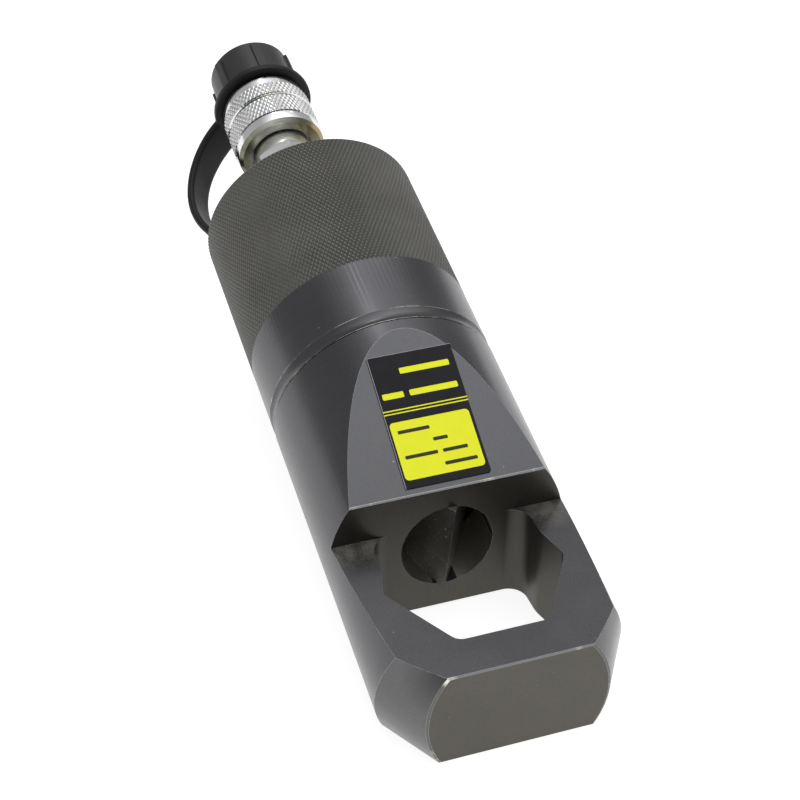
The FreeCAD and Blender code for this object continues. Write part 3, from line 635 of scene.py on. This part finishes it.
def apply_modifiers(obj):
    """Bakes an object's modifiers into its mesh."""
    graph = bpy.context.evaluated_depsgraph_get()
    mesh = bpy.data.meshes.new_from_object(obj.evaluated_get(graph))
    obj.modifiers.clear()
    obj.data = mesh
    return mesh


def rounded_outline(centre, size, corner, count):
    """Points of a rectangle whose corners are arcs of that radius and that many points."""
    outline = []
    for right, up, start in ((1, 1, 0), (-1, 1, 90), (-1, -1, 180), (1, -1, 270)):
        for k in range(count):
            angle = math.radians(start + 90 * k / (count - 1))
            x = centre[0] + right * (size[0] / 2 - corner) + corner * math.cos(angle)
            y = centre[1] + up * (size[1] / 2 - corner) + corner * math.sin(angle)
            outline.append((x, y))
    return outline


def tube_faces(sections, size):
    """Faces of a tube through that many sections of that many points, closed at both ends."""
    faces = []
    for i in range(sections - 1):
        for k in range(size):
            low, high = i * size + k, i * size + (k + 1) % size
            faces.append((low, high, high + size, low + size))
    faces.append(tuple(range(size)))
    faces.append(tuple(range((sections - 1) * size, sections * size)))
    return faces


# Finishes of a turned mesh, by the place of their material
PLAIN = 0
FLANK = 1
CREST = 2
ACCENT = 3

# Band of raised diamonds between two places on the axis
Knurl = namedtuple("Knurl", "x_from x_to root crest stretch")


class Lathe:
    """Closed mesh turned about the axis from (x, radius) points and knurled bands."""

    def __init__(self, count):
        self.count = count
        self.points = []
        self.faces = []
        self.kinds = []
        self.half_tip = KNURL_TIP / 2
        steps = (0.0, 0.5 - self.half_tip, 0.5 + self.half_tip)
        self.turns = [i + step for i in range(count) for step in steps]

    def point(self, x, radius, turn):
        angle = 2 * math.pi * turn / self.count
        self.points.append((x, radius * math.sin(angle), radius * math.cos(angle)))
        return len(self.points) - 1

    def face(self, kind, *corners):
        self.faces.append(corners)
        self.kinds.append(kind)

    def ring(self, x, radii):
        return [self.point(x, radii[k % 3], turn) for k, turn in enumerate(self.turns)]

    def join(self, first, second, kind):
        for k in range(len(first)):
            self.face(kind, first[k - 1], first[k], second[k], second[k - 1])

    def knurl(self, band):
        """Adds the diamonds and returns the band's first and last ring."""
        count = self.count
        half = self.half_tip
        radii = (band.root, band.crest, band.crest)
        width = 2 * math.pi * band.crest / count
        rows = round(abs(band.x_to - band.x_from) / width / band.stretch)
        step = (band.x_to - band.x_from) / rows / 2
        first = self.ring(band.x_from, radii)
        last = self.ring(band.x_to, radii)
        crossings = [[first[3 * i] for i in range(count)]]
        for j in range(1, 2 * rows):
            shift = 0.5 * (j % 2)
            row = [self.point(band.x_from + step * j, band.root, i + shift) for i in range(count)]
            crossings.append(row)
        crossings.append([last[3 * i] for i in range(count)])
        for j in range(1, 2 * rows):
            shift = 0.5 * ((j + 1) % 2)
            x = band.x_from + step * j
            for i in range(count):
                left = crossings[j][i - 1 if j % 2 else i]
                right = crossings[j][i if j % 2 else (i + 1) % count]
                lower = crossings[j - 1][i]
                upper = crossings[j + 1][i]
                turn = i + shift
                tips = [
                    self.point(x, band.crest, turn - half),
                    self.point(x - 2 * step * half, band.crest, turn),
                    self.point(x, band.crest, turn + half),
                    self.point(x + 2 * step * half, band.crest, turn),
                ]
                corners = [left, lower, right, upper]
                self.face(CREST, *tips)
                for k in range(4):
                    self.face(FLANK, corners[k - 1], corners[k], tips[k], tips[k - 1])
        for ring, inner, toward in ((first, crossings[1], 1), (last, crossings[-2], -1)):
            x = band.x_from if toward > 0 else band.x_to
            for i in range(count):
                apex = self.point(x + toward * 2 * step * half, band.crest, i + 0.5)
                west, a, b = ring[3 * i : 3 * i + 3]
                east = ring[(3 * i + 3) % (3 * count)]
                self.face(CREST, a, b, apex)
                self.face(FLANK, west, a, apex, inner[i])
                self.face(FLANK, east, inner[i], apex, b)
        return first, last

    def build(self, name, profile):
        """profile lists (item, kind): a point or a Knurl, and the finish from the last item to it."""
        rings = []
        for item, kind in profile:
            if isinstance(item, Knurl):
                first, last = self.knurl(item)
                rings.append((first, kind))
                rings.append((last, None))
            else:
                rings.append((self.ring(item[0], [item[1]] * 3), kind))
        for k in range(len(rings)):
            before = rings[k - 1][0]
            here, kind = rings[k]
            if kind is not None:
                self.join(before, here, kind)
        return mesh_from(name, self.points, self.faces, self.kinds, SHARP_TURNED)


def recess_points(band):
    """Points on the arc of the recess before the joint, sunk into a band of that radius."""
    half = RECESS_LENGTH / 2
    sweep = (half**2 + RECESS_DEPTH**2) / (2 * RECESS_DEPTH)
    points = []
    for k in range(1, RECESS_STEPS):
        offset = half * (2 * k / RECESS_STEPS - 1)
        dip = math.sqrt(sweep**2 - offset**2) - (sweep - RECESS_DEPTH)
        points.append((BARREL_LENGTH - half + offset, band - dip))
    return points


def barrel_profile():
    """Outside from the rear face to the joint, then the spigot, the bore, the passage and the port."""
    rear, front = reach("barrel")
    radius = outer_radius("barrel")
    root = radius - BARREL_KNURL_DEPTH
    band = radius - BAND_SINK
    soft = EDGE_SOFTENING
    recess_rear = BARREL_LENGTH - RECESS_LENGTH
    knurl = Knurl(BARREL_KNURL_FROM, BARREL_KNURL_TO, root, radius, BARREL_KNURL_STRETCH)
    outside = [
        ((rear, PORT_RADIUS), PLAIN),
        ((rear, radius - REAR_CHAMFER - soft), PLAIN),
        ((rear + soft / 2, radius - REAR_CHAMFER), ACCENT),
        ((rear + REAR_CHAMFER, root), PLAIN),
        (knurl, PLAIN),
        ((BARREL_KNURL_TO + soft, band), PLAIN),
        ((recess_rear - soft, band), PLAIN),
        ((recess_rear, band - soft / 2), ACCENT),
    ]
    recess = [(point, PLAIN) for point in recess_points(band)]
    joint = [
        ((BARREL_LENGTH - soft, band - soft / 2), PLAIN),
        ((BARREL_LENGTH, band - soft), ACCENT),
    ]
    inside = [
        ((BARREL_LENGTH, SPIGOT_RADIUS), PLAIN),
        ((front, SPIGOT_RADIUS), PLAIN),
        ((front, BARREL_BORE_RADIUS), PLAIN),
        ((BARREL_REAR_WALL, BARREL_BORE_RADIUS), PLAIN),
        ((BARREL_REAR_WALL, PASSAGE_RADIUS), PLAIN),
        ((PORT_DEPTH, PASSAGE_RADIUS), PLAIN),
        ((PORT_DEPTH, PORT_RADIUS), PLAIN),
    ]
    return outside + recess + joint + inside


def barrel_finish():
    mesh = Lathe(BARREL_KNURL_COUNT).build("barrel_finish", barrel_profile())
    materials = [
        LOOKS["black_knurled"],
        knurl_oxide("knurl_flank", 0.102, 0.42, 1.5),
        knurl_oxide("knurl_crest", 0.14, 0.36, 1.9),
        # Painted glints round the recess spots
        worn_edge("barrel_edge", 0.6, 0.14, 0.54, RECESS_GLINTS),
    ]
    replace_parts(piece("barrel_finish", mesh, "tool", "black_knurled", *materials), "barrel")


def collar_profile():
    """Outside from the front face to the rear one, then the thread, the bore and the neck's hole."""
    rear, front = reach("coupler_collar")
    radius = outer_radius("coupler_collar")
    plain = COLLAR_PLAIN_RADIUS
    root = radius - COLLAR_KNURL_DEPTH
    first = front - COLLAR_BEVEL - COLLAR_PLAIN_LENGTH
    groove = first - COLLAR_BAND_LENGTH
    second = groove - COLLAR_GROOVE_WIDTH
    lip = rear + COLLAR_LIP
    soft = EDGE_SOFTENING
    profile = [
        ((front, COLLAR_NECK_BORE + soft), ACCENT),
        ((front, COLLAR_FRONT_RADIUS - soft), ACCENT),
        ((front - soft, COLLAR_FRONT_RADIUS), ACCENT),
        ((front - COLLAR_BEVEL, plain - soft / 3), ACCENT),
        ((front - COLLAR_BEVEL - soft, plain), PLAIN),
        ((first + soft, plain), PLAIN),
        (Knurl(first, groove + soft, root, radius, COLLAR_KNURL_STRETCH), PLAIN),
        ((groove, root - soft), PLAIN),
        ((groove - soft, radius - COLLAR_GROOVE_DEPTH), ACCENT),
        ((second + soft, radius - COLLAR_GROOVE_DEPTH), ACCENT),
        ((second, root - soft), PLAIN),
        (Knurl(second - soft, lip, root, radius, COLLAR_KNURL_STRETCH), PLAIN),
        ((lip - soft, plain), PLAIN),
        ((rear + soft, plain), PLAIN),
        ((rear, plain - soft), PLAIN),
        ((rear, COLLAR_THREAD_RADIUS), PLAIN),
        ((rear + COLLAR_THREAD_LENGTH, COLLAR_THREAD_RADIUS), PLAIN),
        ((rear + COLLAR_THREAD_LENGTH, COLLAR_INNER_RADIUS), PLAIN),
        ((front - COLLAR_SHOULDER, COLLAR_INNER_RADIUS), PLAIN),
        ((front - COLLAR_SHOULDER, COLLAR_NECK_BORE), PLAIN),
        ((front - soft, COLLAR_NECK_BORE), PLAIN),
    ]
    return profile


def collar_finish():
    mesh = Lathe(COLLAR_KNURL_COUNT).build("collar_finish", collar_profile())
    materials = [
        LOOKS["zinc_knurled"],
        # The flank copy is darker than the crest copy: painted shade in the knurl's grooves
        zinc("zinc_knurl_flank", 0.62, 0.3, turned=False),
        zinc("zinc_knurl_crest", 0.76, 0.26, turned=False),
        yellow_zinc("collar_face"),
    ]
    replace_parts(piece("collar_finish", mesh, "collar", "zinc_knurled", *materials), "coupler_collar")


def dressed(node, body, softening, materials, kind_of=None, segments=2, worn=None, sharp=30.0):
    """Finer copy of a CAD node, with softened edges in their own finish, that stands for it."""
    mesh = frame["nodes"][node].data.copy()
    mesh.transform(TOOL.inverted())
    mesh.materials.clear()
    bm = bmesh.new()
    bm.from_mesh(mesh)
    bmesh.ops.remove_doubles(bm, verts=bm.verts, dist=MM * MERGE_DISTANCE)
    bmesh.ops.dissolve_limit(bm, angle_limit=math.radians(FLAT_ANGLE), verts=bm.verts, edges=bm.edges)
    bmesh.ops.recalc_face_normals(bm, faces=bm.faces)
    for face in bm.faces:
        face.material_index = kind_of(face) if kind_of else 0
    bm.to_mesh(mesh)
    bm.free()
    obj = piece(node + "_finish", mesh, body, SLOTS[node], *materials)
    bevel = obj.modifiers.new("soft_edges", "BEVEL")
    bevel.width = softening * MM
    bevel.segments = segments
    bevel.limit_method = "ANGLE"
    bevel.angle_limit = math.radians(sharp)
    bevel.use_clamp_overlap = True
    bevel.miter_outer = "MITER_SHARP"
    if worn is not None:
        bevel.material = worn
    shade(apply_modifiers(obj), SHARP_SOFTENED)
    weights = obj.modifiers.new("flat_shading", "WEIGHTED_NORMAL")
    weights.keep_sharp = True
    weights.weight = 100
    apply_modifiers(obj)
    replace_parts(obj, node)


# Finishes of the head, by the place of their material
MILLED, TURNED, CONE, INSIDE, END, BORE, EDGE, RIM = range(8)


def head_kind(face):
    """Finish that a face of the head takes, from where it lies and which way it looks."""
    normal = face.normal
    centre = face.calc_center_median() * PER_MM
    radial = Vector((0, centre.y, centre.z))
    outward = normal.dot(radial.normalized()) if radial.length > 1 else 0.0
    packed_centre = TOOL @ face.calc_center_median() * PER_MM
    packed_normal = TOOL.to_3x3() @ normal
    across = abs(packed_normal.y) > SQUARE
    at_end = packed_centre.x > HEAD_FRONT - END_EDGE
    at_step = not across and packed_centre.z > STEP_EDGE_LEVEL
    if BROKEN_EDGE[0] < packed_normal.x < BROKEN_EDGE[1] and (at_end or at_step):
        return RIM if across else EDGE
    if outward > STRAIGHT_OUT and radial.length > BODY_FACES_FROM:
        return TURNED
    ahead = CONE_AHEAD[0] < normal.x < CONE_AHEAD[1]
    if outward > CONE_OUT and ahead and across and radial.length > CONE_FACES_FROM:
        return CONE
    if abs(packed_normal.z) > LEVEL:
        return MILLED
    if abs(packed_normal.z) < SQUARE:
        faces_front = packed_normal.x > SQUARE_TO_LENGTH and centre.x > END_FACES_FROM
        return END if faces_front else INSIDE
    return BORE if outward < STRAIGHT_IN else MILLED


def head_finish():
    materials = [
        black_oxide("black_milled", OXIDE, dusty_and_lit=STEP_DUST_AND_PAINTED_LIGHT),
        black_oxide("black_body", OXIDE, COOL, turned=True),
        # The cone is darker round its spot: painted shade for the dim horizon that it reflects
        black_oxide("black_cone", 0.125, NEUTRAL, 0.26, True, 0.5, (CONE_PAINTED_SHADE, 0.7)),
        # The inside walls and the end face are tinted warm: a painted warm reflection on faces that look sideways
        black_oxide("black_inside", 0.072, WARM, 0.4, stain=0.9, grain=UPRIGHT),
        black_oxide("black_end", 0.096, WARM, 0.36),
        # The bore is lighter than the other blackened faces: partly bare honed steel, partly painted light where
        # little light reaches
        black_oxide("bore_steel", 0.42, OLIVE, 0.4),
        # The step corner is worn and also carries a painted glint
        worn_edge("head_edge", 0.9, 0.36, 0.62, ((RING_CORNER, 3.4), (STEP_CORNER, 6.0))),
        worn_edge("rim_edge", 0.7, 0.13, 0.66, ((RING_CORNER, 3.0),)),
    ]
    dressed("cutter_head", "tool", HEAD_SOFTENING, materials, head_kind, worn=EDGE, sharp=14.0)


def chisel_finish():
    materials = [LOOKS["tool_steel"], worn_edge("chisel_edge", 0.6, 0.1, 0.48)]
    dressed("chisel", "ram", CHISEL_SOFTENING, materials, worn=1)


def coupler_finish():
    dressed("coupler_body", "tool", COUPLER_SOFTENING, [LOOKS["zinc_body"]])


def cap_finish():
    dressed("dust_cap", "cap", CAP_SOFTENING, [LOOKS["cap_plastic"]], segments=3)


# Strap: moulded rubber with a ring at each end
def strap_centre_line():
    """(along, outward) places and headings on the band's centre line, through three tangent arcs."""
    headings = [math.radians(a) for a in (90.0, STRAP_LEAVES_AT, -STRAP_ARRIVES_AT, -90.0)]
    advance = [math.sin(first) - math.sin(last) for first, last in zip(headings, headings[1:])]
    place = Vector((STRAP_RING_FRONT - STRAP_RING_LENGTH / 2, (STRAP_RING_BORE + STRAP_RING_RADIUS) / 2))
    run = -STRAP_TAIL_FROM_BARREL - place.x
    long_bend = (run - STRAP_FIRST_BEND * advance[0] - STRAP_LAST_BEND * advance[2]) / advance[1]
    radii = [STRAP_FIRST_BEND, long_bend, STRAP_LAST_BEND]
    line = [(place, headings[0])]
    for first, last, radius in zip(headings, headings[1:], radii):
        centre = place + Vector((math.sin(first), -math.cos(first))) * radius
        steps = max(4, round(abs(last - first) * radius / STRAP_STEP))
        for k in range(1, steps + 1):
            heading = first + (last - first) * k / steps
            line.append((centre + Vector((-math.sin(heading), math.cos(heading))) * radius, heading))
        place = line[-1][0]
    foot = (STRAP_TAIL_BORE + STRAP_TAIL_RADIUS) / 2
    line.append((Vector((place.x, foot)), headings[-1]))
    return line


def band_section():
    """Outline of the band across its run as (thickness, width) places, with rounded corners.

    It is a little larger than the band, because the smoothing that follows draws it in.
    """
    thick = STRAP_THICKNESS + STRAP_SMOOTHING_LOSS
    wide = STRAP_WIDTH + STRAP_SMOOTHING_LOSS
    return rounded_outline((0, 0), (thick, wide), thick * STRAP_CORNER_SHARE, BAND_CORNER_POINTS)


def band_mesh():
    """Band along its centre line, wider where it leaves the cap's ring."""
    section = band_section()
    turn = Matrix.Rotation(math.radians(STRAP_ANGLE), 3, "X")
    points = []
    line = strap_centre_line()
    for place, heading in line:
        normal = Vector((-math.sin(heading), math.cos(heading)))
        away = min(1.0, (place - line[0][0]).length / STRAP_FLARE_LENGTH)
        flare = 1 + STRAP_FLARE * (1 - away) ** 2 * (1 + 2 * away)
        for a, b in section:
            spot = place + normal * a
            points.append(turn @ Vector((spot.x, spot.y, b * flare)))
    return points, tube_faces(len(line), len(section))


def ring_mesh(x_from, x_to, inner, outer):
    """Ring of the strap with rounded corners, as points and faces."""
    centre = ((x_from + x_to) / 2, (inner + outer) / 2)
    section = (x_to - x_from, outer - inner)
    outline = rounded_outline(centre, section, STRAP_RING_ROUNDING, RING_CORNER_POINTS)
    points = []
    faces = []
    size = len(outline)
    for i in range(RING_SEGMENTS):
        angle = 2 * math.pi * i / RING_SEGMENTS
        here, after = i * size, (i + 1) % RING_SEGMENTS * size
        for k, (x, r) in enumerate(outline):
            points.append((x, r * math.cos(angle), r * math.sin(angle)))
            following = (k + 1) % size
            faces.append((here + k, here + following, after + following, after + k))
    return points, faces


def merged(*parts):
    """One list of points and faces from several."""
    points = []
    faces = []
    for part_points, part_faces in parts:
        shift = len(points)
        points.extend(part_points)
        faces.extend(tuple(c + shift for c in face) for face in part_faces)
    return points, faces


def strap_finish():
    """Both rings and the band, run together and softened as one moulding."""
    tail = strap_centre_line()[-1][0].x
    half = STRAP_THICKNESS / 2
    ring_rear = STRAP_RING_FRONT - STRAP_RING_LENGTH
    cap_ring = ring_mesh(ring_rear, STRAP_RING_FRONT, STRAP_RING_BORE, STRAP_RING_RADIUS)
    tail_ring = ring_mesh(tail - half, tail + half, STRAP_TAIL_BORE, STRAP_TAIL_RADIUS)
    points, faces = merged(cap_ring, band_mesh(), tail_ring)
    mesh = mesh_from("strap_finish", points, faces)
    obj = placed("strap_finish", mesh)
    mesh.materials.append(LOOKS["strap_rubber"])
    mesh.transform(TOOL)
    remesh = obj.modifiers.new("moulding", "REMESH")
    remesh.mode = "VOXEL"
    remesh.voxel_size = STRAP_VOXEL * MM
    relax = obj.modifiers.new("soften", "SMOOTH")
    relax.factor = STRAP_SMOOTHING
    relax.iterations = STRAP_SMOOTHING_ROUNDS
    shade(apply_modifiers(obj), SHARP_MOULDED)
    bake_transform(obj)
    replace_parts(obj, "cap_strap")


def coil_finish(node, coil):
    """Coil spring that stands for its CAD node."""
    x_from, x_to = reach(node)
    radial, axial = coil["radial"], coil["axial"]
    mean = coil["outer"] - radial / 2
    count = round(coil["turns"] * COIL_STEPS)
    corner = min(radial, axial) * COIL_CORNER_SHARE
    section = rounded_outline((0, 0), (axial, radial), corner, COIL_CORNER_POINTS)
    points = []
    for i in range(count + 1):
        angle = 2 * math.pi * coil["turns"] * i / count
        along = x_from + (x_to - x_from) * i / count
        for a, b in section:
            x = min(max(along + a, x_from), x_to)
            points.append((x, (mean + b) * math.cos(angle), (mean + b) * math.sin(angle)))
    mesh = mesh_from(node + "_finish", points, tube_faces(count + 1, len(section)))
    obj = placed(node + "_finish", mesh)
    mesh.materials.append(LOOKS[SLOTS[node]])
    mesh.transform(TOOL)
    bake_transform(obj)
    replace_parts(obj, node)


# Label: black film with plain generic print
def label_frame():
    """Matrix of the label's own frame: X down the slope, Z out of its face."""
    return TOOL @ Matrix.Rotation(math.radians(LABEL_SLOPE), 4, "Y")


def slab_mesh(name, low, high, floor, corner):
    """Thin shape between two (x, y) corners, standing on the floor height."""
    centre = ((low[0] + high[0]) / 2, (low[1] + high[1]) / 2)
    size = (high[0] - low[0], high[1] - low[1])
    outline = rounded_outline(centre, size, corner, PRINT_CORNER_POINTS)
    points = [(x, y, z) for z in (floor, floor + PRINT_THICKNESS) for x, y in outline]
    return mesh_from(name, points, tube_faces(2, len(outline)))


def label_finish():
    """Prints lines, a panel, bars and rims on the label; the ink lies a layer above the panel."""
    matrix = label_frame()
    points = local_points("label_plate", matrix)
    low = Vector([min(p[k] for p in points) for k in range(3)])
    high = Vector([max(p[k] for p in points) for k in range(3)])
    long, wide = high.x - low.x, high.y - low.y
    yellow = vinyl("label_yellow", (0.96, 1.0, 0.02), 0.4, 0.03, 0.2)
    ink = vinyl("label_ink", (0.03, 0.035, 0.01), 0.4, 0.12, 0.2)
    rim = vinyl("label_rim", (0.3, 0.3, 0.33), 0.35)

    def print_on(name, across, down, layer, material, corner):
        spot_low = (low.x + down[0] * long, low.y + across[0] * wide)
        spot_high = (low.x + down[1] * long, low.y + across[1] * wide)
        mesh = slab_mesh(name, spot_low, spot_high, high.z + layer * PRINT_THICKNESS, corner)
        piece(name, mesh, "tool", SLOTS["label_plate"], material, matrix=matrix)

    for k, (across, down) in enumerate(LABEL_LINES):
        print_on("label_line_" + str(k), across, down, 0, yellow, LINE_CORNER)
    print_on("label_panel", *LABEL_PANEL, 0, yellow, PANEL_CORNER)
    for k, (left, right, top) in enumerate(LABEL_INK_BARS):
        down = (top, top + LABEL_INK_BAR_HEIGHT)
        print_on("label_ink_bar_" + str(k), (left, right), down, 1, ink, INK_BAR_CORNER)
    for k, (left, right, top) in enumerate(LABEL_YELLOW_BARS):
        down = (top, top + LABEL_YELLOW_BAR_HEIGHT)
        print_on("label_yellow_bar_" + str(k), (left, right), down, 0, yellow, YELLOW_BAR_CORNER)
    for k, (across, down) in enumerate(LABEL_RIMS):
        print_on("label_rim_" + str(k), across, down, 0, rim, RIM_CORNER)


def carried_over():
    """Gives every CAD node that still shows its finish."""
    for name, obj in frame["nodes"].items():
        if not obj.hide_render:
            obj.data.materials.clear()
            obj.data.materials.append(LOOKS[SLOTS[name]])


# Studio
def area_light(name, azimuth, elevation, size, power):
    """Square light round the object, aimed at its middle. Azimuth 0 is +X and 90 is +Y."""
    light = bpy.data.lights.new(name, "AREA")
    light.size = size
    light.energy = power
    obj = placed(name, light)
    turn, rise = math.radians(azimuth), math.radians(elevation)
    away = Vector((math.cos(turn) * math.cos(rise), math.sin(turn) * math.cos(rise), math.sin(rise)))
    obj.location = (cad_box[0] + cad_box[1]) / 2 + away * SOFTBOX_DISTANCE
    obj.rotation_euler = away.to_track_quat("Z", "Y").to_euler()


def sky():
    """Studio dome: dim near the horizon and brighter towards a wide light high above."""
    world = bpy.data.worlds.new("studio")
    world.use_nodes = True
    tree = world.node_tree
    background = tree.nodes["Background"]
    background.inputs["Color"].default_value = DOME_TINT
    direction = tree.nodes.new("ShaderNodeTexCoord").outputs["Generated"]
    near = tree.nodes.new("ShaderNodeVectorMath")
    near.operation = "DOT_PRODUCT"
    near.inputs[1].default_value = Vector(DOME_LIGHT).normalized()
    tree.links.new(direction, near.inputs[0])
    share = tree.nodes.new("ShaderNodeMapRange")
    share.inputs["From Min"].default_value = DOME_LIGHT_EDGE
    tree.links.new(near.outputs["Value"], share.inputs["Value"])
    falloff = tree.nodes.new("ShaderNodeMath")
    falloff.operation = "POWER"
    falloff.inputs[1].default_value = DOME_FALLOFF
    tree.links.new(share.outputs["Result"], falloff.inputs[0])
    strength = tree.nodes.new("ShaderNodeMapRange")
    strength.inputs["To Min"].default_value = DOME_LOW
    strength.inputs["To Max"].default_value = DOME_HIGH
    tree.links.new(falloff.outputs[0], strength.inputs["Value"])
    tree.links.new(strength.outputs["Result"], background.inputs["Strength"])
    return world


def photo_camera():
    camera = placed("camera", bpy.data.cameras.new("camera"))
    camera.data.lens = CAMERA_LENS
    camera.data.sensor_width = CAMERA_SENSOR
    camera.data.clip_start = CAMERA_CLIP
    camera.location = CAMERA_PLACE
    camera.rotation_euler = [math.radians(a) for a in CAMERA_TURN]
    return camera


def pale_floor():
    side = FLOOR_REACH * PER_MM
    corners = [(x * side, y * side, 0) for x, y in ((-1, -1), (1, -1), (1, 1), (-1, 1))]
    mesh = mesh_from("floor", corners, [(0, 1, 2, 3)])
    floor = placed("floor", mesh)
    floor.location.z = cad_box[0][2] - FLOOR_GAP * MM
    look = Look("floor")
    speckle = look.noise(0.4, detail=3.0)
    look.set(Base_Color=look.mix(speckle, tinted(0.4), tinted(0.42)), Roughness=0.8)
    look.set(Emission_Color=(1, 1, 1, 1), Emission_Strength=FLOOR_GLOW)
    mesh.materials.append(look.material)


def studio():
    scene = bpy.context.scene
    scene.camera = photo_camera()
    scene.world = sky()
    scene.view_settings.view_transform = "Standard"
    for softbox in SOFTBOXES:
        area_light(*softbox)
    pale_floor()


cad_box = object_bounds()
barrel_finish()
collar_finish()
head_finish()
chisel_finish()
coupler_finish()
cap_finish()
strap_finish()
coil_finish("return_spring", RETURN_COIL)
coil_finish("valve_spring", VALVE_COIL)
label_finish()
carried_over()
studio()
